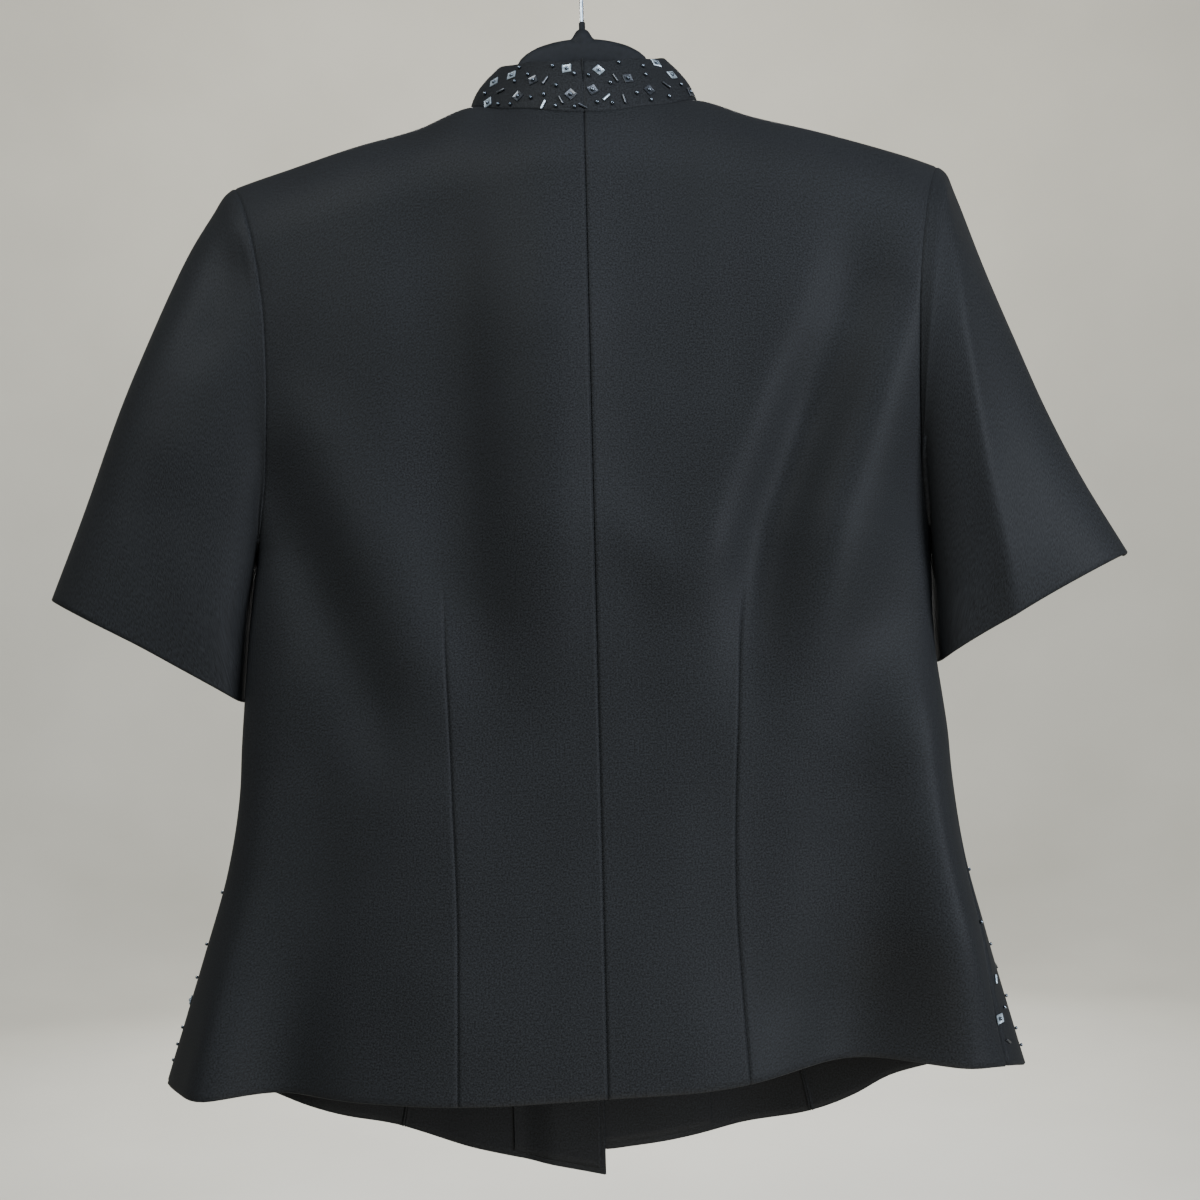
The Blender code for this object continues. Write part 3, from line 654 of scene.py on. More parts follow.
@dataclass(frozen=True)
class JacketForm:
    """The hung jacket's surface, by angle round the body and share up from the hem.

    Body rows hold the drop, half width left and right, depth of back and of front. Shoulder
    rows hold the distance out, and drop left and right. Hem rows hold the share of the half
    width, and drop left and right.
    """

    cloth: float = 1.5
    squareness: float = 0.8
    settle: int = 18
    # Drops from which columns settle, on the body and at the neck
    first_drop: float = 300.0
    first_neck: float = 120.0
    seam_gap: float = 0.1
    side_speed: float = 1.4
    neck_fade: float = 3.5
    neck_half: float = 70.0
    neck_back: float = 35.0
    neck_front: float = 72.0
    shoulder_end: float = 0.006
    tip_out: float = 213.0
    tip_drop: float = 150.0
    underarm: float = 224.0
    waves: tuple[Waves, ...] = (
        Waves(0.3, 13, math.inf, 160, 90, sway=0.6, start=1),
        Waves(0.14, 5.5, 140, 85, -60),
    )
    lap: float = 3.8
    lap_full: float = 34.0
    lap_none: float = 56.0
    rows_below: int = 92
    rows_above: int = 84
    # Fine strip up a face on which a point is looked for: angle to each side, end shares, rows
    strip_half: float = 0.02
    strip_ends: Pair = (0.02, 0.98)
    strip_rows: int = 600
    body: Table = Table((
        (90, 236, 236, 60, 48), (150, 236, 236, 60, 48), (200, 236, 236, 60, 50),
        (250, 232, 232, 60, 54), (300, 222, 222, 58, 58), (350, 210, 209, 56, 60),
        (376, 205, 204, 56, 60), (402, 208, 204, 55, 59), (430, 211.5, 204.5, 54, 57),
        (453, 213.5, 206, 54, 55), (471, 215, 208, 54, 54), (495, 217, 210.5, 55, 52),
        (520, 218.5, 212, 57, 51), (569, 227, 218, 62, 50), (617, 241.5, 230, 70, 50),
        (666, 257, 244, 78, 51), (691, 265, 251, 82, 52), (780, 291, 279, 90, 55),
    ))
    shoulder: Table = Table((
        (0, 99.5, 99.5), (32, 104.5, 104), (50, 110.5, 109.5), (70, 112.5, 111.5), (98, 123.8, 121),
        (137, 133.6, 130.6), (177, 145, 141.4), (213, 155.2, 152.4), (240, 165, 162.4),
    ))
    # Rounding from the shoulder line to each face: distance out, back, front
    rounding: Table = Table(((0, 70, 105), (70, 66, 92), (125, 57, 60), (213, 55, 50)))
    # Armhole edge: drop below the shoulder tip, distance out at back, at front
    armhole: Table = Table((
        (0, 213, 213), (12, 206, 205), (30, 199, 197), (55, 193.5, 188), (85, 190, 182.5),
        (115, 189.5, 180.5), (145, 190.5, 182), (172, 193, 186), (195, 196.5, 191.5), (212, 200, 197),
        (220, 203, 201), (224, 207, 207),
    ))
    back_hem: Table = Table((
        (0, 691, 691), (0.25, 692.5, 689), (0.45, 692.5, 684), (0.65, 691.5, 682), (0.8, 692, 684.3),
        (0.9, 692.8, 686), (0.96, 693, 690), (1, 693, 695),
    ))
    front_hem: Table = Table((
        (0, 777.5, 761.5), (0.17, 767, 755.5), (0.31, 757.5, 748), (0.49, 739.5, 738.5),
        (0.61, 730, 726), (0.69, 722, 715), (0.8, 710.5, 706), (0.92, 700, 697.5), (1, 694, 695),
    ))
    # Share of the way from underarm to shoulder, by share of the rows
    climb: Table = Table((
        (0, 0), (0.09, 0.035), (0.27, 0.17), (0.45, 0.38), (0.64, 0.62), (0.82, 0.85), (1, 1),
    ))
    # Side seam's angle from the centre back in degrees: drop, left, right
    side_seam: Table = Table((
        (100, 88, 83), (500, 88, 83), (560, 86.5, 79), (606, 84.8, 74.7), (644, 84, 70.2),
        (780, 83.5, 68.5),
    ))
    back_creases: Creases = Creases((
        ((270, -182, 18, 0), (322, -156, 22, 4), (377, -128, 24, 6), (442, -100, 22, 5),
         (510, -76, 16, 0)),
        ((305, -198, 14, 0), (345, -186, 16, -3), (393, -167, 18, -5), (462, -138, 18, -5),
         (535, -114, 18, 0)),
        ((100, -14, 26, 0), (170, -20, 32, 7), (270, -24, 34, 12), (350, -26, 34, 13), (500, -30, 26, 0)),
        ((110, -84, 24, 0), (220, -84, 26, -7), (330, -82, 28, -9), (400, -78, 26, -7),
         (480, -66, 20, 0)),
        ((170, 140, 12, 0), (257, 117, 15, 3), (316, 92, 16, 4), (375, 68, 16, 3), (430, 54, 12, 0)),
        ((200, 166, 18, 0), (257, 148, 20, -5), (316, 124, 20, -12), (375, 101, 20, -13),
         (500, 76, 16, 0)),
        ((110, 192, 22, 0), (170, 195, 24, 9), (240, 191, 26, 16), (305, 168, 28, 18),
         (370, 144, 30, 17), (505, 108, 20, 0)),
        ((345, 0, 14, 0), (380, 22, 16, 2), (398, 44, 18, 3), (385, 66, 16, 2), (350, 88, 14, 0)),
        ((400, -174, 28, 0), (480, -184, 28, 4), (560, -190, 28, 3), (640, -196, 24, 0)),
        ((500, -200, 20, 0), (560, -205, 20, 2), (700, -234, 20, 16)),
        ((520, -172, 24, 0), (590, -178, 24, -3), (700, -186, 24, -13)),
        ((470, 172, 34, 0), (540, 160, 38, -5), (700, 138, 38, -30)),
        ((500, 188, 22, 0), (560, 196, 22, 3), (700, 212, 22, 6)),
        ((540, -58, 50, 0), (600, -60, 50, 1), (700, -80, 50, 7)),
        ((450, -168, 24, 0), (520, -166, 26, -4), (600, -166, 28, -5), (690, -172, 26, 0)),
        ((450, -84, 30, 0), (540, -88, 36, 5), (620, -90, 36, 5), (690, -88, 34, 0)),
        ((480, 80, 40, 0), (560, 84, 44, -5), (640, 86, 46, -8), (690, 84, 46, -3)),
        ((420, 182, 26, 0), (510, 194, 38, 20), (600, 204, 42, 26), (690, 222, 30, 8)),
    ))
    front_creases: Creases = Creases((
        ((270, -162, 24, 0), (330, -140, 26, -6), (420, -112, 26, -6), (500, -88, 24, 0)),
        ((260, 168, 24, 0), (330, 142, 26, -6), (420, 110, 26, -6), (510, 82, 24, 0)),
        ((290, -56, 28, 0), (375, -65, 30, 5), (460, -74, 28, 0)),
        ((300, 78, 28, 0), (385, 72, 30, 5), (470, 66, 28, 0)),
        ((500, -166, 32, 0), (560, -170, 34, -3), (730, -185, 34, -10)),
        ((510, 103, 34, 0), (570, 100, 36, 3), (750, 95, 36, 8)),
    ))

    def angle_out(self, side: Side, drop: Array, out: Array, face: Face) -> Array:
        """Angle from the centre back at which the body stands this far out.

        Args:
            side: Half of the jacket.
            drop: Drops of the points.
            out: Distances from the middle.
            face: Face that the points are on.

        Returns:
            The arcsine of distance over half width, from the front's middle on the front.
        """
        angle = np.arcsin(np.clip(out / self.body.at(drop, side.column), -1, 1))
        return angle if face is Face.BACK else np.pi - angle

    def hem_drop(self, side: Side, angle: Array) -> Array:
        """Drop of the hem at an angle.

        Args:
            side: Half of the jacket.
            angle: Angles from the centre back.

        Returns:
            The drops.
        """
        share = np.clip(np.abs(np.sin(angle)), 0, 1)
        behind = self.back_hem.at(share, side.column)
        return np.where(np.cos(angle) > 0, behind, self.front_hem.at(share, side.column))

    def round_high(self, out: Array, angle: Array) -> Array:
        """Height over which the shoulder rounds into a face at a distance out."""
        behind = self.rounding.at(np.abs(out), 1)
        return np.where(np.cos(angle) > 0, behind, self.rounding.at(np.abs(out), 2))

    def points(self, side: Side, angle_at: AngleAt, share: Array, lap: float = 0.0) -> Array:
        """Points of the body's surface.

        A column runs straight from the hem and then a quarter turn to the shoulder line. Its
        drop and angle settle on each other by repeating. Out is half width times the angle's
        sine, depth is face depth times its cosine to a power, plus the creases.

        Args:
            side: Half of the jacket.
            angle_at: Angle of each column by drop.
            share: Share of the way from the hem to the shoulder line.
            lap: How far the front's free edge lies back under the other.

        Returns:
            Points in millimetres.
        """
        drop = np.full_like(share, self.first_drop)
        for _ in range(self.settle):
            angle = angle_at(drop)
            out = self.body.at(drop, side.column) * np.sin(angle)
            line = self.shoulder.at(np.abs(out), side.column)
            length = self.hem_drop(side, angle) - line
            high = self.round_high(out, angle)
            start = self.round_share(length, high)
            turn = np.pi / 2 * (1 - share) / (1 - start)
            straight = length - share * (length - high) / start
            drop = line + np.where(share < start, straight, high * (1 - np.cos(turn)))
        reach = np.where(share < start, 1, np.sin(turn))
        behind = np.cos(angle) > 0
        rear, fore = (self.body.at(drop, face.value) for face in Face)
        deep = np.where(behind, -rear, fore)
        x = side.value * out
        folds = np.where(
            behind, -self.back_creases.height(x, drop), self.front_creases.height(x, drop)
        )
        uneven = sum(wave.rise(x, drop) for wave in self.waves)
        folds = folds + np.where(behind, -1, 1) * uneven
        full = np.abs(np.cos(angle)) ** self.squareness
        under = eased((self.lap_none - out) / (self.lap_none - self.lap_full))
        y = deep * full * reach + folds * np.minimum(1, 2 * full) * reach**2 - lap * under
        return np.stack((x, y, -drop), axis=-1)

    def round_share(self, length: Array, high: Array) -> Array:
        """Share of a column at which the shoulder's rounding starts, by length of cloth."""
        return (length - high) / (length - high + high * np.pi / 2)

    def share_at(self, below: Array, length: Array, high: Array) -> Array:
        """Share of a column at a height below the shoulder line.

        Args:
            below: Height below the shoulder line.
            length: Height of the column.
            high: Height of its rounding.

        Returns:
            The share.
        """
        start = self.round_share(length, high)
        turn = np.arccos(np.clip(1 - below / high, 0, 1))
        rounded = 1 - turn * (1 - start) / (np.pi / 2)
        return np.where(below < high, rounded, (length - below) * start / (length - high))

    def top_share(self, side: Side, angle_at: AngleAt, columns: int) -> Array:
        """Share at which each column meets the neck edge, an oval from above, or the shoulder.

        Args:
            side: Half of the jacket.
            angle_at: Angle of each column by drop.
            columns: Number of columns.

        Returns:
            One share for each column.
        """
        drop = np.full(columns, self.first_neck)
        for _ in range(self.settle):
            angle = angle_at(drop)
            out = self.body.at(drop, side.column) * np.sin(angle)
            line = self.shoulder.at(np.abs(out), side.column)
            high = self.round_high(out, angle)
            hollow = np.where(np.cos(angle) > 0, self.neck_back, self.neck_front)
            middle = 1 - (1 - hollow / self.round_high(0 * out, angle)) ** 2
            reach = middle * np.clip(1 - (out / self.neck_half) ** 2, 0, 1)
            reach = np.maximum(reach, math.sin(self.shoulder_end) ** 2)
            below = high * (1 - np.sqrt(1 - reach))
            drop = line + below
        return self.share_at(below, self.hem_drop(side, angle) - line, high)

    def row_shares(self, side: Side) -> Array:
        """Shares up the body, with a row at the underarm.

        Args:
            side: Half of the jacket.

        Returns:
            One share for each row, from the hem to the shoulder line.
        """
        side_on = np.array(np.pi / 2)
        out = self.body.at(np.array(self.tip_drop + self.underarm), side.column)
        line = self.shoulder.at(out, side.column)
        below = self.shoulder.at(self.tip_out, side.column) + self.underarm - line
        length = self.hem_drop(side, side_on) - line
        under = self.share_at(below, length, self.round_high(out, side_on))
        lower = np.linspace(0, under, self.rows_below + 1)
        upper = self.climb.at(np.linspace(0, 1, self.rows_above + 1)[1:])
        return np.concatenate((lower, under + (1 - under) * upper))

    def armhole_angle(self, side: Side, face: Face) -> AngleAt:
        """Line of the armhole's edge and of the side seam below it.

        Args:
            side: Half of the jacket.
            face: Face that the armhole's edge is on.

        Returns:
            The line, as an angle by drop.
        """

        def line(drop: Array) -> Array:
            """Angle of the line at these drops."""
            below = drop - self.shoulder.at(self.tip_out, side.column)
            out = self.armhole.at(below, 1 if face is Face.BACK else 2)
            angle = self.angle_out(side, drop, out, face)
            seam = np.radians(self.side_seam.at(drop, side.column))
            hold = np.minimum if face is Face.BACK else np.maximum
            return np.where(below < self.underarm, hold(angle, seam), seam)

        return line

    def line_out(self, side: Side, face: Face, table: Table, column: int = 1) -> AngleAt:
        """Line down a face at a distance from the middle given by drop."""
        return lambda drop: self.angle_out(side, drop, table.at(drop, column), face)

    def inset(self, side: Side, line: AngleAt, way: int) -> AngleAt:
        """A line moved into its panel by half the seam's gap.

        Args:
            side: Half of the jacket.
            line: The seam's line.
            way: 1 to move it to larger angles, -1 to smaller.

        Returns:
            The moved line.
        """

        def moved(drop: Array) -> Array:
            """Angle of the moved line at these drops."""
            angle = line(drop)
            wide = self.body.at(drop, side.column) * np.cos(angle)
            deep = self.side_speed * self.body.at(drop, Face.BACK.value) * np.sin(angle)
            return angle + way * self.seam_gap / 2 / np.hypot(wide, deep)

        return moved

    def place_on(self, side: Side, face: Face, out: float, drop: float) -> tuple[Array, Array]:
        """A point on a face and its outward direction.

        Args:
            side: Half of the jacket.
            face: Face that it is on.
            out: Distance from the middle.
            drop: Drop of the point.

        Returns:
            The point and the direction.
        """
        span = np.linspace(-self.strip_half, self.strip_half, 3)
        shares = np.linspace(*self.strip_ends, self.strip_rows)[:, None] + 0 * span
        grid = self.points(side, lambda at: self.angle_out(side, at, out, face) + span, shares)
        row = int(np.argmin(np.abs(grid[:, 1, 2] + drop)))
        return grid[row, 1], ways_out(grid, side)[row, 1]


@dataclass(frozen=True)
class Panel:
    """Grid of one panel between lines that run down the body."""

    form: JacketForm
    side: Side
    lines: tuple[AngleAt, ...]
    counts: tuple[int, ...]
    lap: float = 0.0

    def angle_at(self, drop: Array) -> Array:
        """Angle of each column: each span shared out between its two lines.

        Args:
            drop: Drops, with one column for each of the panel's.

        Returns:
            Angles of the same shape.
        """
        last = len(self.lines) - 1
        spans, start = [], 0
        for i, count in enumerate(self.counts):
            shares = gathered(count)
            if i == last - 1:
                shares = np.append(shares, 1.0)
            part = drop[..., start : start + len(shares)]
            near, far = self.line(i, part), self.line(i + 1, part)
            spans.append(near + shares * (far - near))
            start += len(shares)
        return np.concatenate(spans, axis=-1)

    def line(self, number: int, drop: Array) -> Array:
        """Angle of one line, moved into the panel where it is an edge.

        Args:
            number: Which line, counted from zero.
            drop: Drops at which it is read.

        Returns:
            The angles.
        """
        way = {0: 1, len(self.lines) - 1: -1}.get(number)
        line = self.lines[number]
        return (self.form.inset(self.side, line, way) if way else line)(drop)

    def grid(self) -> Array:
        """Points of the panel, rows from hem to top.

        Returns:
            The grid.
        """
        columns = sum(self.counts) + 1
        rows = self.form.row_shares(self.side)[:, None]
        top = self.form.top_share(self.side, self.angle_at, columns)
        share = rows - (1 - top) * rows**self.form.neck_fade
        return self.form.points(self.side, self.angle_at, share, self.lap)


@dataclass(frozen=True)
class Seam:
    """A pressed seam: a narrow valley with soft puffs beside it."""

    depth: float = 1.1
    width: float = 0.65
    puff: float = 0.12
    puff_width: float = 5.0

    def press(self, points: Array, side: Side, gap: Array, weight: Array | float = 1.0) -> Array:
        """Presses the seam into a grid.

        Args:
            points: Grid of points.
            side: Half of the jacket.
            gap: Distance of each point from the seam.
            weight: Strength of the seam, or one for each point.

        Returns:
            The moved grid.
        """
        ways = ways_out(points, side)
        puffed = sunk(points, ways, gap, -self.puff * weight, self.puff_width)
        return sunk(puffed, ways, gap, (self.depth + self.puff) * weight, self.width)


@dataclass(frozen=True)
class Cut:
    """Flat cloth of one kind of piece in metres: its size, and the area cut for each side."""

    width: float
    length: float
    left: float
    right: float

    def sheet(self, made: bpy.types.Object, side: Side, rests_on: list[str]) -> None:
        """Makes a list of the names of what holds a finished piece of this cut up, and does nothing more
        with it.

        Args:
            made: The piece's object; not used.
            side: Half of the jacket; not used.
            rests_on: Names of what holds it up.
        """
        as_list(rests_on)


CUTS = {
    "back": Cut(0.27, 0.64, 0.135, 0.13),
    "side_front": Cut(0.2, 0.62, 0.074, 0.077),
    "front": Cut(0.19, 0.68, 0.07, 0.088),
    "facing": Cut(0.11, 0.63, 0.037, 0.057),
    "sleeve": Cut(0.42, 0.3, 0.067, 0.061),
    "collar": Cut(0.19, 0.04, 0.0054, 0.0068),
}


@dataclass
class JacketHalf:
    """All cloth pieces of one half of the jacket."""

    form: JacketForm
    side: Side
    cloth: bpy.types.Material
    seam: Seam = Seam()
    armhole_seam: Seam = Seam(0.35, 0.9, 0.0)
    collar_seam: Seam = Seam(0.5, 0.7, 0.1)
    side_seam: Seam = Seam(1.8, 2.4, 0.2)
    # Columns of the back from centre to neck point, to dart, to side seam
    back_counts: tuple[int, ...] = (28, 18, 46)
    # Columns of the side front from side seam to princess seam
    side_counts: tuple[int, ...] = (54,)
    # Columns of the front from princess seam to facing, to collar's end, to edge
    front_counts: tuple[int, ...] = (24, 26, 12)
    facing: float = 1.0
    facing_gap: float = 0.5
    facing_shy: float = 2.4
    # Facing's inner edge: drop, distance out left, right
    facing_line: Table = Table(((100, 70, 70), (170, 70, 70), (420, 62, 62), (560, 64, 64), (740, 61, 66)))
    # Distance out of the front's free edge, and at the hem of the line to the collar's end
    free_edge: dict[Side, float] = field(default_factory=lambda: {Side.LEFT: 3.0, Side.RIGHT: -30.0})
    meet_hem: dict[Side, float] = field(default_factory=lambda: {Side.LEFT: 9, Side.RIGHT: -20})
    neck_line: Table = Table(((100, 70), (118, 70), (200, 61), (320, 50), (500, 46), (700, 46)))
    # Back dart: drop, distance out left, right
    dart_line: Table = Table((
        (100, 118, 116), (250, 99, 99), (340, 91, 92), (398, 88.4, 87.6), (430, 87.4, 83.8),
        (468, 86.3, 81.3), (524, 84.6, 78), (600, 82.2, 76.4), (640, 82.2, 78), (691, 82.6, 80),
    ))
    side_start: float = 400.0
    side_ease: float = 80.0
    dart_tip: float = 396.0
    dart_ease: float = 46.0
    princess: Table = Table((
        (100, 140), (180, 140), (260, 114), (330, 97), (400, 88), (480, 84), (560, 92), (640, 110),
        (737, 131), (780, 139),
    ))
    # Collar's height by turn from the centre back: turn, left, right
    collar_height: Table = Table((
        (0, 34, 34), (45, 33, 34), (70, 29.5, 33), (90, 27, 31), (115, 29, 32), (180, 34, 34),
    ))
    collar_cloth: float = 2.2
    collar_meet: float = 16.0
    collar_apart: float = 1.6
    collar_lift: float = 0.5
    collar_rows: int = 26
    # Collar's lean inwards in degrees, by turn from the centre back
    collar_lean: Table = Table(((0, 14), (45, 24), (90, 36), (135, 31), (180, 20)))
    # How far the collar bows out at half its height, by the same turn
    collar_bow: Table = Table(((0, 0.9), (45, 2), (90, 3.2), (135, 2), (180, 0.9)))
    # Sleeve outline by share of its length: outer out, drop, inner out, drop, left then right
    sleeve: Table = Table((
        (0, 213, 155.2, 206, 379, 213, 152.4, 205, 376.4),
        (0.06, 219.5, 160, 207.6, 381, 218.5, 157, 206.2, 379),
        (0.13, 226.5, 169.5, 208.4, 386, 223, 167.5, 206.3, 383.5),
        (0.22, 240, 189.5, 209.2, 395, 231, 188.5, 206, 391),
        (0.33, 254, 215.5, 210.3, 406, 240, 212.5, 205.7, 400),
        (0.5, 275, 263.5, 212.2, 423, 255.5, 251.5, 205.7, 415),
        (0.67, 295.5, 311.5, 213.8, 440, 274.5, 296.5, 206, 430),
        (0.84, 315, 360.5, 215.2, 455, 297.5, 342.5, 206.9, 442),
        (1, 332, 402, 216.3, 466.5, 325, 389.5, 207.7, 452),
    ))
    # Sleeve's place forward: share of its length, outer edge, inner edge
    sleeve_forward: Table = Table((
        (0, 0, 0), (0.13, 1, 5), (0.33, 3, 9), (0.5, 4, 10), (0.75, 5, 10), (1, 5, 10),
    ))
    # Sleeve's half depth: share of its length, back, front
    sleeve_depth: Table = Table(((0, 42, 40), (0.3, 47, 43), (0.6, 46, 41), (1, 40, 36)))
    # How keen the sleeve's inner edge is on its back and front; less than nothing is blunt
    sleeve_edge: Pair = (-0.6, 0.5)
    # Rise of the cuff's edge at half width on its back and front
    cuff_rise: dict[Side, Pair] = field(default_factory=lambda: {Side.LEFT: (4, 9), Side.RIGHT: (6, 11)})
    sleeve_rows: int = 96
    sleeve_gather: float = 1.25
    head_blend: float = 0.62
    seam_step: float = 0.15
    head_rise: float = 0.7
    # Shares of the sleeve's length over which its head rises, falls again, and the creases start
    head_up: float = 0.012
    head_down: float = 0.16
    crease_start: float = 0.08
    crease_facing: float = 1.4
    left_creases: Creases = Creases((
        ((185, -207, 13, 0), (215, -214, 15, -4), (245, -221, 15, -3), (285, -234, 13, 0)),
        ((215, -248, 22, 0), (275, -276, 26, 2), (345, -304, 24, 0)),
        ((310, -236, 24, 0), (360, -250, 28, -4), (430, -270, 24, -3)),
    ))
    right_creases: Creases = Creases((
        ((150, 204, 13, 0), (190, 206, 14, 4), (260, 211, 15, 8), (300, 218, 15, 9),
         (342, 227, 16, 9), (386, 238, 16, 8), (440, 249, 16, 4)),
    ), crest=0.18)
    collar_outer: Array = field(init=False)
    front_points: Array = field(init=False)
    side_front_points: Array = field(init=False)

    def build(self) -> None:
        """Makes the panels, sleeve and half collar."""
        back = self.back_grid()
        side_front = self.side_front_grid()
        front = self.front_grid()
        thick = self.form.cloth
        self.sew("back", back, thick, True)
        self.sew("side_front", side_front, thick)
        self.sew("front", front, thick)
        self.build_facing(front)
        self.build_sleeve(back, side_front)
        self.collar_outer = self.build_collar(self.back_panel().grid(), front)
        self.front_points, self.side_front_points = front, side_front

    def sew(self, kind: str, outer: Array, thick: float, middle: bool = False) -> None:
        """Args:
            kind: Kind of piece, as its cut is named.
            outer: Outer grid.
            thick: Thickness of the cloth.
            middle: Whether the first column is the seam with the other half.
        """
        inner = outer - thick * ways_out(outer, self.side)
        if middle:
            outer[:, 0, 0] = inner[:, 0, 0] = self.side.value * self.form.seam_gap / 2
        made = Wall(outer, inner, self.side).make(self.piece(kind))
        CUTS[kind].sheet(made, self.side, ["hanger"])

    def piece(self, kind: str) -> Piece:
        """This half's cloth piece of a kind, which stands for the solid of that name."""
        node = f"{kind}_{self.side.end}"
        return Piece(f"cloth_{node}", self.cloth, "cloth", (node,))

    def back_panel(self) -> Panel:
        """Back panel from centre back by neck point and dart to armhole and side seam.

        Returns:
            The panel, before its seams are pressed in.
        """
        form, side = self.form, self.side
        lines = (
            np.zeros_like,
            form.line_out(side, Face.BACK, self.neck_line),
            form.line_out(side, Face.BACK, self.dart_line, side.column),
            form.armhole_angle(side, Face.BACK),
        )
        return Panel(form, side, lines, self.back_counts)

    def back_grid(self) -> Array:
        """Back panel with its dart, centre-back, side and armhole seams pressed in.

        Returns:
            Its outer grid.
        """
        side, counts = self.side, self.back_counts
        points = self.back_panel().grid()
        run = run_along(points, 1)
        points = self.seam.press(points, side, run)
        points = self.armhole_seam.press(points, side, run[:, -1:] - run)
        points = self.side_seam.press(points, side, run[:, -1:] - run, self.below_arm(points))
        dart = counts[0] + counts[1]
        weight = eased((-points[..., 2] - self.dart_tip) / self.dart_ease)
        return self.seam.press(points, side, np.abs(run - run[:, dart : dart + 1]), weight)

    def side_front_grid(self) -> Array:
        """Side front, from side seam and armhole to princess seam.

        Returns:
            Its outer grid.
        """
        form, side = self.form, self.side
        lines = (
            form.armhole_angle(side, Face.FRONT),
            form.line_out(side, Face.FRONT, self.princess),
        )
        points = Panel(form, side, lines, self.side_counts).grid()
        run = run_along(points, 1)
        points = self.armhole_seam.press(points, side, run)
        points = self.side_seam.press(points, side, run, self.below_arm(points))
        return self.seam.press(points, side, run[:, -1:] - run)

    def below_arm(self, points: Array) -> Array:
        """Weight that grows from zero a little below the underarm to one."""
        return eased((-points[..., 2] - self.side_start) / self.side_ease)

    def front_grid(self) -> Array:
        """Front, from princess seam to free edge, with lines at the facing and collar's end.

        Returns:
            Its outer grid.
        """
        form, side = self.form, self.side
        left = side is Side.LEFT
        stop = self.collar_apart + self.collar_meet * (1 if left else -1)
        free = self.free_edge[side]
        meet = Table(((100, stop), (200, stop), (740, self.meet_hem[side])))
        lines = (
            form.line_out(side, Face.FRONT, self.princess),
            form.line_out(side, Face.FRONT, self.facing_line, side.column),
            form.line_out(side, Face.FRONT, meet),
            form.line_out(side, Face.FRONT, Table(((0, free), (900, free)))),
        )
        points = Panel(form, side, lines, self.front_counts, form.lap if left else 0.0).grid()
        return self.seam.press(points, side, run_along(points, 1))

    def build_facing(self, front: Array) -> None:
        """Makes the facing: the front's points from the facing's edge on, moved in.

        Args:
            front: Front's grid.
        """
        ways = ways_out(front, self.side)
        run = run_along(front, 1)
        inside = int(np.argmax(run[0, -1] - run[0] < self.facing_shy))
        place = slice(1, -1), slice(self.front_counts[0], inside)
        outer = front[place] - (self.form.cloth + self.facing_gap) * ways[place]
        self.sew("facing", outer, self.facing)

    def build_sleeve(self, back: Array, side_front: Array) -> None:
        """Makes the sleeve: ovals along its outline, whose first is drawn to the armhole.

        Args:
            back: Back panel's grid.
            side_front: Side front's grid.
        """
        outer, inner = self.sleeve_rings(back, side_front)
        made = Wall(outer, inner, self.side, around=True).make(self.piece("sleeve"))
        rests = ["hanger", f"cloth_back_{self.side.end}"]
        CUTS["sleeve"].sheet(made, self.side, rests)

    def sleeve_rings(self, back: Array, side_front: Array) -> tuple[Array, Array]:
        """Outer and inner rings of the sleeve, from armhole to cuff.

        Args:
            back: Back panel's grid.
            side_front: Side front's grid.

        Returns:
            The two grids, with columns from shoulder tip by the back to the underarm and on.
        """
        side, first = self.side, self.form.rows_below

        def loop(rear: Array, fore: Array) -> Array:
            """Two edges joined into a ring, with their ends averaged."""
            tip = (rear[-1:] + fore[-1:]) / 2
            pit = (rear[:1] + fore[:1]) / 2
            return np.concatenate((tip, rear[-2:0:-1], pit, fore[1:-1]))

        edge = loop(back[first:, -1], side_front[first:, 0])
        way = unit(loop(ways_out(back, side)[first:, -1], ways_out(side_front, side)[first:, 0]))
        along = np.roll(edge, -1, axis=0) - np.roll(edge, 1, axis=0)
        outward = -side.value * unit(np.cross(along, way))
        start = edge + self.seam_step * (way + outward)
        half = self.form.rows_above
        run = run_along(np.concatenate((edge, edge[:1])), 0)
        later = np.pi + np.pi * (run[:-1] - run[half]) / (run[-1] - run[half])
        turn = np.where(np.arange(len(edge)) <= half, np.pi * run[:-1] / run[half], later)
        share = np.linspace(0, 1, self.sleeve_rows)[:, None] ** self.sleeve_gather
        rings = self.sleeve_ovals(turn, share)
        fade = 1 - eased(share / self.head_blend)[..., None]
        rings = rings + fade * (start - rings[0])
        face = self.ring_ways(rings)
        face[0] = unit(face[0] + way)
        x, drop = rings[..., 0], -rings[..., 2]
        lean = np.clip(-self.crease_facing * face[..., 1], 0, 1) * eased(share / self.crease_start)
        creases = self.left_creases if side is Side.LEFT else self.right_creases
        rise = creases.height(x, drop) * lean
        rise += self.head_rise * eased(share / self.head_up) * (1 - eased(share / self.head_down))
        rings = rings + rise[..., None] * face
        face = self.ring_ways(rings)
        face[0] = unit(face[0] + way)
        return rings, rings - self.form.cloth * face

    def sleeve_ovals(self, turn: Array, share: Array) -> Array:
        """Ovals between the outline's two edges, keener at the inner, raised at the cuff's middle.

        Args:
            turn: Turn of each column from the outer edge by the back.
            share: Share of the sleeve's length, one for each row.

        Returns:
            Rings of points.
        """
        first = 1 if self.side is Side.LEFT else 5
        outer_out, outer_drop, inner_out, inner_drop = (
            self.sleeve.at(share, first + i) for i in range(4)
        )
        behind = np.sin(turn) > 0
        deep = np.where(behind, self.sleeve_depth.at(share, 1), self.sleeve_depth.at(share, 2))
        cuff = np.where(behind, *self.cuff_rise[self.side])
        outer_y, inner_y = self.sleeve_forward.at(share, 1), self.sleeve_forward.at(share, 2)

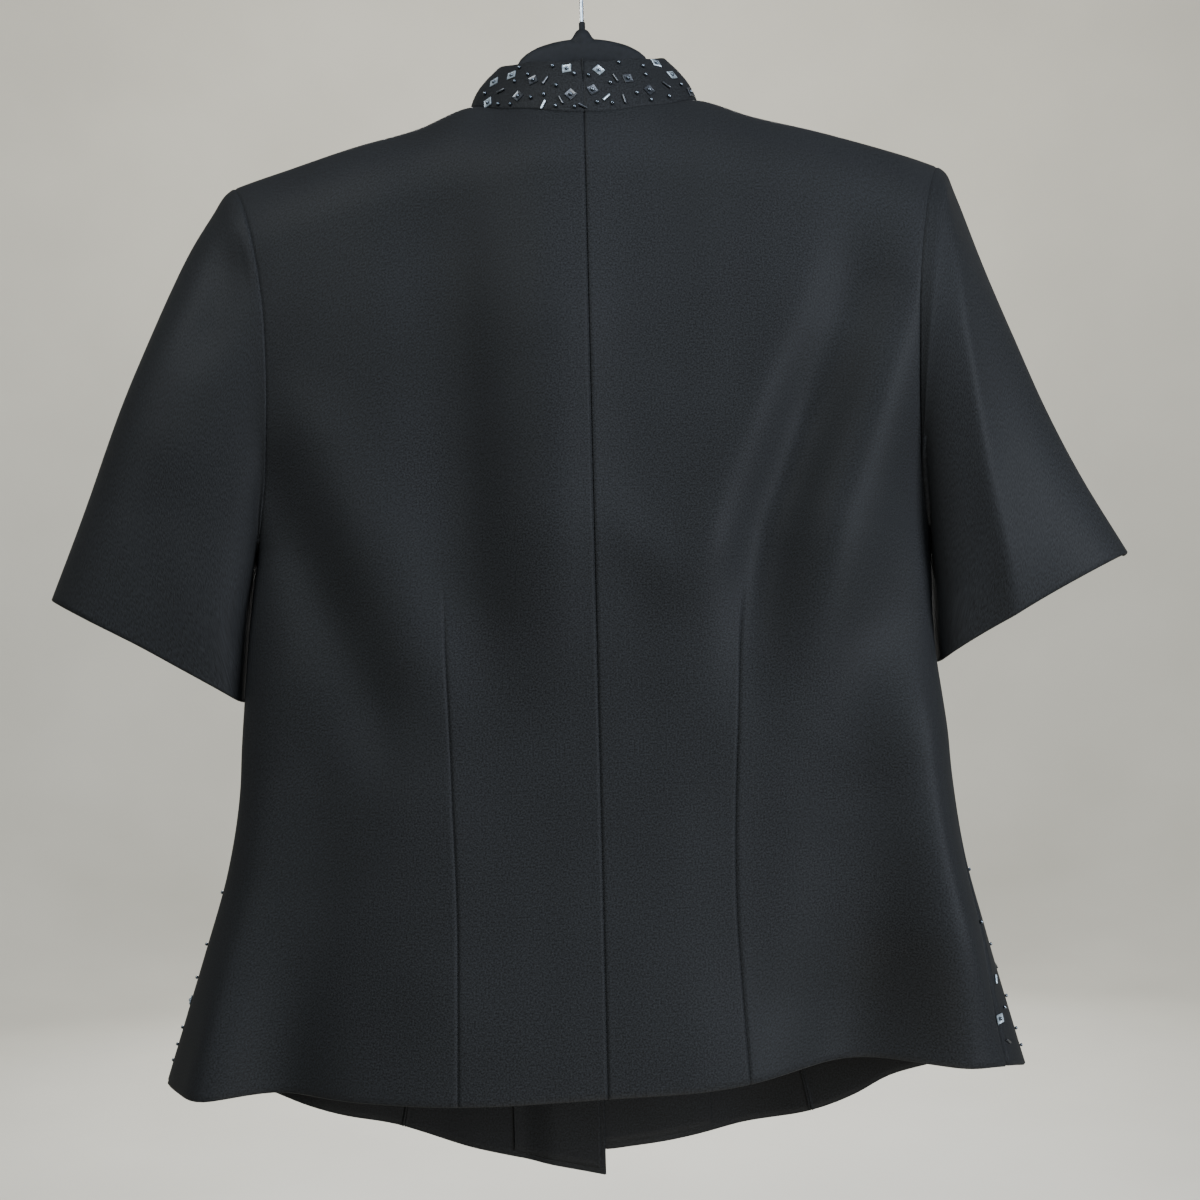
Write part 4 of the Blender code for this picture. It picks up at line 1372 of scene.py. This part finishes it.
        def between(outer: Array, inner: Array) -> Array:
            """Value round the oval between its outer and inner edges."""
            return (outer + inner) / 2 + (outer - inner) / 2 * np.cos(turn)

        x = self.side.value * between(outer_out, inner_out)
        keen = np.where(behind, *self.sleeve_edge) * (1 - np.cos(turn)) / 2
        bulge = np.abs(np.sin(turn)) ** (1 + keen)
        y = between(outer_y, inner_y) - deep * np.sign(np.sin(turn)) * bulge
        z = cuff * share**3 * np.abs(np.sin(turn)) - between(outer_drop, inner_drop)
        return np.stack((x, y, z), axis=-1)

    def ring_ways(self, rings: Array) -> Array:
        """Outward directions of rings: round each ring crossed with down the sleeve."""
        around = np.roll(rings, -1, axis=1) - np.roll(rings, 1, axis=1)
        return self.side.value * unit(np.cross(around, np.gradient(rings, axis=0)))

    def build_collar(self, back: Array, front: Array) -> Array:
        """Makes half the stand collar on the neck edges, leaning in as it rises.

        Args:
            back: Back panel's grid before its seams are pressed.
            front: Front's grid.

        Returns:
            Outer grid of the collar, columns from the centre back, rows from seam to top.
        """
        side, form = self.side, self.form
        start, span = self.front_counts[:2]
        rear = back[-1, : self.back_counts[0] + 1]
        fore = front[-1, start : start + span + 1]
        base = np.concatenate((rear[:-1], (rear[-1:] + fore[:1]) / 2, fore[1:]))
        out = side.value * base[:, 0] / form.neck_half
        turn = np.degrees(np.arcsin(np.clip(out, -1, 1)))
        turn[len(rear) :] = 180 - turn[len(rear) :]
        turn[len(rear) :] = 90 + 90 * (turn[len(rear) :] - 90) / (turn[-1] - 90)
        lean = np.radians(self.collar_lean.at(turn))[:, None]
        along = np.gradient(base, axis=0)
        along[0] = (side.value, 0, 0)
        outward = side.value * unit(np.cross(along * (1, 1, 0), UP))
        rise = np.cos(lean) * UP - np.sin(lean) * outward
        share = np.linspace(0, 1, self.collar_rows)[:, None, None]
        bow = self.collar_bow.at(turn)[:, None] * np.sin(np.pi * share) * outward
        high = self.collar_height.at(turn, side.column)[:, None]
        outer = base + rise * (share * high + self.collar_lift) + bow
        outer = self.collar_seam.press(outer, side, run_along(outer, 1))
        self.sew("collar", outer, self.collar_cloth, True)
        return outer


@dataclass(frozen=True)
class BeadShape:
    """One bead as a small turned form: radius, height and squareness of each ring."""

    rings: tuple[tuple[float, float, float], ...]
    sides: int = 8

    def mesh(self) -> tuple[Array, Array]:
        """Points and faces: each ring is a circle drawn out to a square by its squareness.

        Returns:
            The points about the bead's middle, and the faces.
        """
        rows = np.array(self.rings)
        turns = circle(self.sides)
        square = 1 / np.maximum(np.abs(np.cos(turns)), np.abs(np.sin(turns)))
        reach = rows[:, :1] * (1 + (square - 1) * rows[:, 2:])
        x, y = reach * np.cos(turns), reach * np.sin(turns)
        z = np.broadcast_to(rows[:, 1:2], x.shape)
        return np.stack((x, y, z), axis=-1).reshape(-1, 3), tube_faces(len(rows), self.sides)


@dataclass
class Beading:
    """Square, seed and bugle beads scattered on the collar and the fronts' lower border."""

    photo: Photo
    halves: dict[Side, JacketHalf]
    seed: int = 7
    spacing: float = 6.2
    border: float = 118.0
    border_count: int = 300
    collar_count: int = 400
    reach: float = 7.0
    # How far back cloth may face, along Y, where beads are read, and where none are scattered
    read_way: float = 0.1
    edge_way: float = 0.2
    collar_edge: int = 2
    # Shares at which the squares end, the squares with painted shade, the bugles and the bugles with a
    # painted highlight
    kind_ends: tuple[float, ...] = (0.15, 0.3, 0.45, 0.5)
    border_thin: float = 1.7
    border_ends: Pair = (0.01, 0.985)
    square: BeadShape = BeadShape((
        (0.3, 0.05, 0), (2.6, 0.05, 1), (2.7, 0.4, 1), (2.45, 0.75, 1), (1.35, 0.5, 0.4), (1.1, 0.3, 0),
        (0.1, 0.3, 0),
    ))
    round: BeadShape = BeadShape((
        (0.1, 0.0, 0), (0.75, 0.1, 0), (1.15, 0.65, 0), (1.05, 1.15, 0), (0.6, 1.6, 0), (0.08, 1.7, 0),
    ))
    tube: BeadShape = BeadShape((
        (0.2, -2.75, 0), (0.62, -2.72, 0), (0.66, -2.5, 0), (0.66, 2.5, 0), (0.62, 2.72, 0),
        (0.2, 2.75, 0),
    ))
    collar_beads: Seen = (
        (Bead.SQUARE, (
            (486, 103, 15), (495, 82, 15), (511, 75, 8), (565.5, 69, 4), (600, 69.5, 45),
            (655, 64.5, 3), (671, 75.5, 25),
        )),
        # Squares with painted shade: drawn dark where they face away from the light
        (Bead.SMOKED, (
            (536, 81, 20), (521, 97, 45), (571, 94.5, 45), (591.5, 90, 30), (628, 78.5, 14),
            (647, 91, 42), (690, 92, 20),
        )),
        (Bead.SEED, (
            (520.5, 68.5, 0), (527, 75.5, 0), (517.5, 83, 0), (552.5, 67.5, 0), (574, 74, 0),
            (556.5, 86, 0), (545, 95, 0), (531.5, 98.5, 0), (499.5, 104.5, 0), (512.5, 105.5, 0),
            (553.5, 106, 0), (573, 106, 0), (589.5, 76, 0), (617.5, 63, 0), (608, 84, 0),
            (640, 67.5, 0), (648, 75.5, 0), (634, 94, 0), (596.5, 103, 0), (612, 104, 0),
            (653.5, 99.5, 0), (666, 97, 0), (681, 85.5, 0), (485, 93, 0),
        )),
        (Bead.BUGLE, (
            (546.5, 81, 60), (503.5, 93, 12), (560.5, 100, -65), (582.5, 105.5, -22), (616, 78.5, -65),
            (623.5, 100, -78), (664, 86, -30),
        )),
        # Bugles with a painted highlight
        (Bead.BRIGHT, ((540.5, 105, 66), (607.5, 97, 45))),
    )
    border_beads: Seen = (
        (Bead.SQUARE, ((999, 1018, 10), (191, 1000, 20))),
        (Bead.SEED, (
            (1003, 1007, 0), (968, 869, 0), (980, 921, 0), (989, 944, 0), (1007, 996, 0),
            (1015, 1027, 0), (1021, 1045, 0), (222, 892, 0), (206, 945, 0), (199, 978, 0),
            (183, 1026, 0), (179, 1044, 0), (174, 1060, 0),
        )),
        # Bugle with a painted highlight
        (Bead.BRIGHT, ((995, 980, 60),)),
        (Bead.BUGLE, ((1008, 1043, -30), (995, 964, 20))),
    )

    def build(self) -> None:
        """Places every bead, then makes one piece for each kind and carrying part."""
        chance = np.random.default_rng(self.seed)
        silvered_and_highlight, dark_glass_and_shade, haematite = SILVERED_AND_PAINTED_HIGHLIGHT.make(), SMOKED.make(), HAEMATITE.make()
        # Squares with painted shade take the dark finish; bugles with a painted highlight take the pale one
        finishes = {
            Bead.SQUARE: silvered_and_highlight,
            Bead.SMOKED: dark_glass_and_shade,
            Bead.SEED: haematite,
            Bead.BUGLE: dark_glass_and_shade,
            Bead.BRIGHT: silvered_and_highlight,
        }
        for side, half in self.halves.items():
            self.make(f"collar_{side.end}", self.collar_spots(side, half, chance), finishes)
            self.make(f"border_{side.end}", self.border_spots(side, half, chance), finishes)

    def read(self, beads: Seen, outer: Array, ways: Array) -> list[Spot]:
        """Beads seen in the photograph, each set on the nearest point of a grid that shows.

        Args:
            beads: Pixels and turn of each bead, by kind.
            outer: Grid of the cloth.
            ways: Outward directions of the grid.

        Returns:
            Those that lie on this grid, away from its first column.
        """
        spots: list[Spot] = []
        seen = self.photo.project(outer)
        shows = ways[..., 1] <= self.read_way
        for kind, group in beads:
            for across, down, turn in group:
                away = np.hypot(seen[..., 0] - across, seen[..., 1] - down)
                gap = np.where(shows, away, np.inf)
                row, column = np.unravel_index(np.argmin(gap), gap.shape)
                if gap[row, column] < self.reach and column:
                    spots.append(self.spot(kind, outer, ways, row, column, turn))
        return spots

    def collar_spots(self, side: Side, half: JacketHalf, chance: np.random.Generator) -> list[Spot]:
        """Beads of half the collar: those seen in the photograph, then a like scatter.

        Args:
            side: Half of the jacket.
            half: Its cloth.
            chance: Source of the scatter.

        Returns:
            The beads.
        """
        outer = half.collar_outer
        ways = ways_out(outer, side)
        spots = self.read(self.collar_beads, outer, ways)
        for _ in range(self.collar_count):
            row, column = (chance.integers(self.collar_edge, n - self.collar_edge) for n in outer.shape[:2])
            self.scatter(spots, outer, ways, row, column, chance)
        return spots

    def border_spots(self, side: Side, half: JacketHalf, chance: np.random.Generator) -> list[Spot]:
        """Beads of the fronts' lower border, thinning out upwards.

        Args:
            side: Half of the jacket.
            half: Its cloth.
            chance: Source of the scatter.

        Returns:
            The beads.
        """
        side_ways = ways_out(half.side_front_points, side)
        spots = self.read(self.border_beads, half.side_front_points, side_ways)
        for outer in (half.side_front_points, half.front_points):
            ways = ways_out(outer, side)
            top = int(np.argmax(run_along(outer, 0)[:, 0] > self.border))
            wide = outer.shape[1]
            share = run_along(outer[:1], 1)[0]
            for _ in range(self.border_count):
                climb, across = chance.uniform() ** self.border_thin, chance.uniform(*self.border_ends)
                row = 1 + int(climb * (top - 1))
                column = min(int(np.searchsorted(share, across * share[-1])), wide - 2)
                self.scatter(spots, outer, ways, row, column, chance)
        return spots

    def scatter(
        self,
        spots: list[Spot],
        outer: Array,
        ways: Array,
        row: int,
        column: int,
        chance: np.random.Generator,
    ) -> None:
        """Adds a bead of a random turn and kind where the cloth is hidden and there is room.

        Args:
            spots: The beads there are, which take the new one.
            outer: Grid of the cloth.
            ways: Outward directions of the grid.
            row: Row of the bead.
            column: Column of the bead.
            chance: Source of the turn and kind.
        """
        turn, pick = chance.uniform(0, 180), chance.uniform()
        place = outer[row, column]
        clear = all(np.linalg.norm(place - spot[1]) > self.spacing for spot in spots)
        if ways[row, column, 1] >= self.edge_way and clear:
            spots.append(self.spot(self.pick(pick), outer, ways, row, column, turn))

    def pick(self, share: float) -> Bead:
        """Kind of bead for a random share: six squares and four bugles to ten seeds."""
        # The dark squares are painted shade and the pale bugles a painted highlight
        kinds = (Bead.SQUARE, Bead.SMOKED, Bead.BUGLE, Bead.BRIGHT, Bead.SEED)
        return kinds[int(np.searchsorted(self.kind_ends, share))]

    def spot(self, kind: Bead, outer: Array, ways: Array, row: int, column: int, turn: float) -> Spot:
        """One bead at a grid point, turned in the cloth.

        Args:
            kind: Kind of bead.
            outer: Grid of the cloth.
            ways: Outward directions of the grid.
            row: Row of the point.
            column: Column of the point.
            turn: Turn in degrees from level, as seen from outside.

        Returns:
            Kind, place, outward direction and lengthwise direction.
        """
        way = ways[row, column]
        level = unit(np.cross(UP, way))
        upward = np.cross(way, level)
        angle = math.radians(turn)
        return kind, outer[row, column], way, math.cos(angle) * level + math.sin(angle) * upward

    def make(self, place: str, spots: list[Spot], finishes: dict[Bead, bpy.types.Material]) -> None:
        """Copies each kind's shape to its spots: centre plus shape turned into the spot's axes.

        A seed also sits in the middle of each square.

        Args:
            place: Part of the jacket, for the pieces' names.
            spots: The beads.
            finishes: Material of each kind.
        """
        plates = (Bead.SQUARE, Bead.SMOKED)
        tubes = (Bead.BUGLE, Bead.BRIGHT)
        for kind in Bead:
            carriers = (kind, *plates) if kind is Bead.SEED else (kind,)
            chosen = [spot for spot in spots if spot[0] in carriers]
            if not chosen:
                continue
            centre, way, level = (np.array([spot[i] for spot in chosen]) for i in (1, 2, 3))
            third = np.cross(way, level)
            axes = np.stack((level, third, way), axis=1)
            shape = self.square if kind in plates else self.round
            if kind in tubes:
                shape = self.tube
                axes = np.stack((third, way, level), axis=1)
                centre = centre + shape.rings[2][0] * way
            form, faces = shape.mesh()
            points = centre[:, None] + np.einsum("pk,nkc->npc", form, axes)
            steps = np.arange(len(chosen))[:, None, None] * len(form)
            piece = Piece(f"beads_{kind.value}_{place}", finishes[kind], smooth=kind not in plates)
            piece.make(points.reshape(-1, 3), (faces + steps).reshape(-1, faces.shape[1]))


@dataclass
class Fastening:
    """Buttons down the overlap and the worked buttonholes that they pass through."""

    form: JacketForm
    radius: float = 9.0
    high: float = 3.2
    out: float = -16.5
    drops: tuple[float, ...] = (225, 320, 415, 510)
    sides: int = 40
    lift: float = 0.5
    hole_length: float = 19.0
    hole_half: float = 1.1
    hole_squareness: float = 0.5
    hole_shift: float = 2.5
    hole_points: int = 48
    thread: float = 0.55
    thread_lift: float = 0.2
    thread_sides: int = 8

    def build(self) -> None:
        """Makes each button and its buttonhole on the right front."""
        cast, twist = CAST_BUTTON.make(), THREAD.make()
        for number, drop in enumerate(self.drops, 1):
            centre, way = self.form.place_on(Side.RIGHT, Face.FRONT, self.out, drop)
            across = unit(np.cross(way, UP))
            spokes = self.spokes(across, np.cross(across, way))
            piece = Piece(f"button_cast_{number}", cast, "button", (f"button_{number}",))
            piece.make(*turned(self.profile(), spokes, way, centre + self.lift * way))
            self.build_hole(number, drop, twist)

    def spokes(self, across: Array, upward: Array) -> Array:
        """Directions round a button."""
        turns = circle(self.sides)[:, None]
        return np.cos(turns) * across + np.sin(turns) * upward

    def profile(self) -> Array:
        """Radius and height of a dished button with a rolled rim.

        Returns:
            Pairs from the bottom's middle to the top's.
        """
        rim, top = self.radius, self.high
        under = ((0.05, 0.3), (rim - 1.4, 0.3), (rim - 0.3, 0.8), (rim, 1.6), (rim - 0.3, 2.5))
        roll = ((rim - 1.2, top), (rim - 2.4, top - 0.1), (rim - 3.2, top - 0.7))
        dish = ((rim - 5.0, top - 0.95), (0.05, top - 1.0))
        return np.array(under + roll + dish, float)

    def build_hole(self, number: int, drop: float, twist: bpy.types.Material) -> None:
        """Makes a ring of thread round a slit: a long oval carried over the cloth.

        Args:
            number: Number of the button.
            drop: Drop of the button.
            twist: Thread's material.
        """
        turns = circle(self.hole_points)
        outs = self.out + self.hole_shift + self.hole_length / 2 * (1 + np.cos(turns))
        waves = np.sin(turns)
        drops = drop + self.hole_half * np.sign(waves) * np.abs(waves) ** self.hole_squareness
        spots = [self.form.place_on(Side.RIGHT, Face.FRONT, *spot) for spot in zip(outs, drops)]
        path, ways = (np.array(part) for part in zip(*spots))
        along = unit(np.roll(path, -1, axis=0) - np.roll(path, 1, axis=0))
        beside = np.cross(along, ways)
        ring = circle(self.thread_sides)[:, None, None]
        around = np.cos(ring) * beside + np.sin(ring) * ways
        tube = path + self.thread_lift * ways + self.thread * around
        points = tube.transpose(1, 0, 2)
        points = np.concatenate((points, points[:1])).reshape(-1, 3)
        Piece(f"buttonhole_{number}", twist).make(points, tube_faces(len(turns) + 1, self.thread_sides))


@dataclass
class Hanger:
    """Moulded hanger with its neck, and the wire hook in it."""

    # Arms: distance out, top drop, height, depth
    arms: Table = Table((
        (0, 68, 19, 12), (7, 68.4, 19, 12), (20, 70.6, 18.5, 12), (31, 74.8, 17.5, 12),
        (38.5, 80.8, 16.5, 12), (44, 91, 16, 12), (51, 102.5, 16.5, 12), (61, 114.5, 17, 12),
        (72, 122, 17.5, 12), (84, 126, 17.5, 12), (105, 132.5, 17.5, 12), (140, 142, 17, 12),
        (175, 153, 15, 11), (194, 160, 11, 9), (198, 163, 6, 5),
    ))
    squareness: float = 0.75
    arm_rings: int = 181
    arm_sides: int = 36
    # Parting line: rise as a share of the half height, half width as a share
    parting: Pair = (0.03, 0.1)
    # Neck: half width, half depth, drop
    neck: tuple[Place, ...] = (
        (1.4, 1.4, 57.8), (1.8, 1.8, 57.6), (1.95, 1.95, 57.9), (1.95, 1.95, 62.3), (2.2, 2.2, 62.7),
        (3.4, 3.3, 62.9), (4.0, 3.8, 63.4), (4.8, 4.5, 64.6), (5.8, 5.2, 66.4), (6.6, 5.6, 67.6),
        (9, 5.7, 69.6), (12, 5.6, 72.5), (11, 5, 78), (0.1, 0.1, 78),
    )
    wire: float = 1.3
    hook_radius: float = 20.0
    hook_start: float = -55.0
    hook_end: float = 205.0
    stem_top: float = 44.0
    stem_bottom: float = 75.0
    bend_pull: float = 0.42
    wire_sides: int = 20
    # Points along the stem, the bend and the hook, and rings of its domed end
    stem_points: int = 14
    bend_points: int = 24
    hook_points: int = 72
    dome_rings: int = 6

    def build(self) -> None:
        """Makes the arms, neck and hook."""
        plastic = MOULDED_PLASTIC.make()
        Piece("hanger_arms", plastic, "plastic", ("hanger",)).make(*self.arm_mesh())
        Piece("hanger_neck", plastic, "plastic").make(*self.neck_mesh())
        Piece("hanger_hook", PLATED_WIRE.make(), "metal", ("hook",)).make(*self.hook_mesh())

    def arm_mesh(self) -> tuple[Array, Array]:
        """Rounded-square sections along the arms, closed at the tips, with a parting line.

        Returns:
            Points and faces.
        """
        tip = self.arms.rows[-1][0]
        out = tip * np.sin(np.linspace(-np.pi / 2, np.pi / 2, self.arm_rings))
        turns = circle(self.arm_sides) + math.pi / self.arm_sides
        rise, wide = self.parting
        high = self.arms.at(np.abs(out), 2)[:, None] / 2
        deep = self.arms.at(np.abs(out), 3)[:, None] / 2

        def squared(wave: Array) -> Array:
            """Sine or cosine drawn out towards a square."""
            return np.sign(wave) * np.abs(wave) ** self.squareness

        ridge = 1 + rise * np.exp(-((np.cos(turns) / wide) ** 2))
        z = -(self.arms.at(np.abs(out), 1)[:, None] + high) + high * squared(np.sin(turns)) * ridge
        y = deep * squared(np.cos(turns))
        x = np.broadcast_to(out[:, None], z.shape)
        rings = np.stack((x, y, z), axis=-1)
        ends = [np.broadcast_to(ring.mean(axis=0), (1, *ring.shape)) for ring in (rings[0], rings[-1])]
        rings = np.concatenate((ends[0], rings, ends[1]))
        return rings.reshape(-1, 3), tube_faces(*rings.shape[:2])

    def neck_mesh(self) -> tuple[Array, Array]:
        """Oval rings down the neck, flaring into the arms.

        Returns:
            Points and faces.
        """
        rows = np.array(self.neck)
        turns = circle(self.arm_sides)
        x, y = rows[:, :1] * np.cos(turns), rows[:, 1:2] * np.sin(turns)
        z = np.broadcast_to(-rows[:, 2:], x.shape)
        return np.stack((x, y, z), axis=-1)[::-1].reshape(-1, 3), tube_faces(len(rows), self.arm_sides)

    def hook_mesh(self) -> tuple[Array, Array]:
        """Round wire carried along the stem, an easy bend and the hook, with a domed end.

        Returns:
            Points and faces.
        """
        path = self.hook_path()
        along = unit(np.gradient(path, axis=0))
        side = np.array((0.0, 1.0, 0.0))
        across = np.cross(along, side)
        dome = np.linspace(0, np.pi / 2, self.dome_rings)[1:]
        radius = np.concatenate((np.full(len(path), self.wire), self.wire * np.cos(dome)))
        tip = path[-1] + self.wire * np.sin(dome)[:, None] * along[-1]
        path = np.concatenate((path, tip))
        across = np.concatenate((across, np.repeat(across[-1:], len(dome), axis=0)))
        turns = circle(self.wire_sides)[None, :, None]
        ring = np.cos(turns) * across[:, None] + np.sin(turns) * side
        points = path[:, None] + radius[:, None, None] * ring
        return points.reshape(-1, 3), tube_faces(*points.shape[:2])

    def hook_path(self) -> Array:
        """Middle of the wire: a straight stem, a cubic bend and an arc of a circle.

        Returns:
            Points from the stem's foot to the hook's end.
        """
        centre = np.array((0.0, 0.0, self.wire - self.hook_radius))
        turns = np.radians(np.linspace(self.hook_start, self.hook_end, self.hook_points))
        ring = centre + self.hook_radius * np.stack(
            (np.cos(turns), np.zeros_like(turns), np.sin(turns)), axis=-1
        )
        tangent = unit(ring[1] - ring[0])
        low = np.array((0.0, 0.0, -self.stem_top))
        reach = np.linalg.norm(ring[0] - low) * self.bend_pull
        share = np.linspace(0, 1, self.bend_points)[:, None]
        bend = (
            (1 - share) ** 3 * low
            + 3 * (1 - share) ** 2 * share * (low + reach * UP)
            + 3 * (1 - share) * share**2 * (ring[0] - tangent * reach)
            + share**3 * ring[0]
        )
        stem = np.linspace(-self.stem_bottom, -self.stem_top, self.stem_points)[:-1, None] * UP
        return np.concatenate((stem, bend[:-1], ring))


@dataclass(frozen=True)
class Studio:
    """Pale floor that curves up into a wall all round, and soft lights."""

    floor: float = -1.15
    radius: float = 3.6
    cove: float = 1.0
    top: float = 2.6
    shade: str = "#908e86"
    light: str = "#96948c"
    mottle_mm: float = 400.0
    cove_rings: int = 17
    sides: int = 96
    sky: str = "#f3f5f8"
    ambient: float = 0.3
    # Lights: place, point aimed at in metres, width, power in watts, colour
    lights: tuple[tuple[Place, Place, float, float, str], ...] = (
        ((1.5, -1.1, -0.1), (0.05, 0, -0.35), 0.8, 136.0, "#e8f0fd"),
        ((-1.1, -1.2, 0.9), (-0.05, 0, -0.3), 1.0, 106.0, "#f0f6fa"),
        ((0.25, -0.9, 0.6), (0.05, 0, -0.2), 0.6, 25.0, "#e0ecff"),
        ((0.0, 2.25, 0.6), (0, 0, -0.42), 1.2, 105.0, "#ffffff"),
        ((0.0, 1.3, 1.9), (0, 3.6, 0.5), 1.4, 125.0, "#fffaf0"),
        ((0.08, -0.32, -1.12), (0.08, -0.31, -0.7), 0.25, 5.5, "#fffaf0"),
    )

    def build(self) -> None:
        """Makes the bowl, the ambient light and the lights."""
        self.build_bowl()
        world = bpy.data.worlds.new("studio")
        world.use_nodes = True
        sky = world.node_tree.nodes["Background"]
        sky.inputs["Color"].default_value = linear(self.sky)
        sky.inputs["Strength"].default_value = self.ambient
        bpy.context.scene.world = world
        for number, (place, aim, width, power, tint) in enumerate(self.lights, 1):
            data = bpy.data.lights.new(f"light_{number}", "AREA")
            data.size, data.energy = width, power
            data.color = linear(tint)[:3]
            lamp = bpy.data.objects.new(f"light_{number}", data)
            lamp.visible_camera = False
            lamp.location = place
            lamp.rotation_euler = (Vector(aim) - Vector(place)).to_track_quat("-Z", "Y").to_euler()
            bpy.context.scene.collection.objects.link(lamp)

    def build_bowl(self) -> None:
        """Makes the floor and wall: a profile of floor, quarter-round and wall, turned."""
        turns = np.linspace(0, np.pi / 2, self.cove_rings)
        flat = self.radius - self.cove
        cove_out = flat + self.cove * np.sin(turns)
        cove_up = self.floor + self.cove * (1 - np.cos(turns))
        out = np.concatenate(((0.01, flat / 2), cove_out, (self.radius,)))
        up = np.concatenate(((self.floor, self.floor), cove_up, (self.top,)))
        around = circle(self.sides)
        x, y = out[:, None] * np.cos(around), out[:, None] * np.sin(around)
        rings = np.stack((x, y, np.broadcast_to(up[:, None], x.shape)), axis=-1)
        # Painted board: matt grey emulsion.
        finish = SmoothFinish("painted_board", self.shade, self.light, 0.75, 0.85, self.mottle_mm)
        mesh = bpy.data.meshes.new("studio_bowl")
        faces = tube_faces(*rings.shape[:2])
        mesh.from_pydata(rings.reshape(-1, 3).tolist(), [], faces.tolist())
        mesh.polygons.foreach_set("use_smooth", np.ones(len(faces), bool))
        mesh.materials.append(finish.make())
        bowl = bpy.data.objects.new("studio_bowl", mesh)
        bpy.context.scene.collection.objects.link(bowl)


def main() -> None:
    """Loads the frame, builds each part of the jacket and hanger, and logs the face count of each piece."""
    logging.basicConfig(level=logging.INFO, format="%(name)s: %(message)s")
    for old in list(bpy.data.objects):
        bpy.data.objects.remove(old)
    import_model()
    photo = Photo()
    photo.build()
    Studio().build()
    form = JacketForm()
    cloth = WovenCloth().make()
    halves = {side: JacketHalf(form, side, cloth) for side in Side}
    for half in halves.values():
        half.build()
    Beading(photo, halves).build()
    Fastening(form).build()
    Hanger().build()


if __name__ == "__main__":
    main()
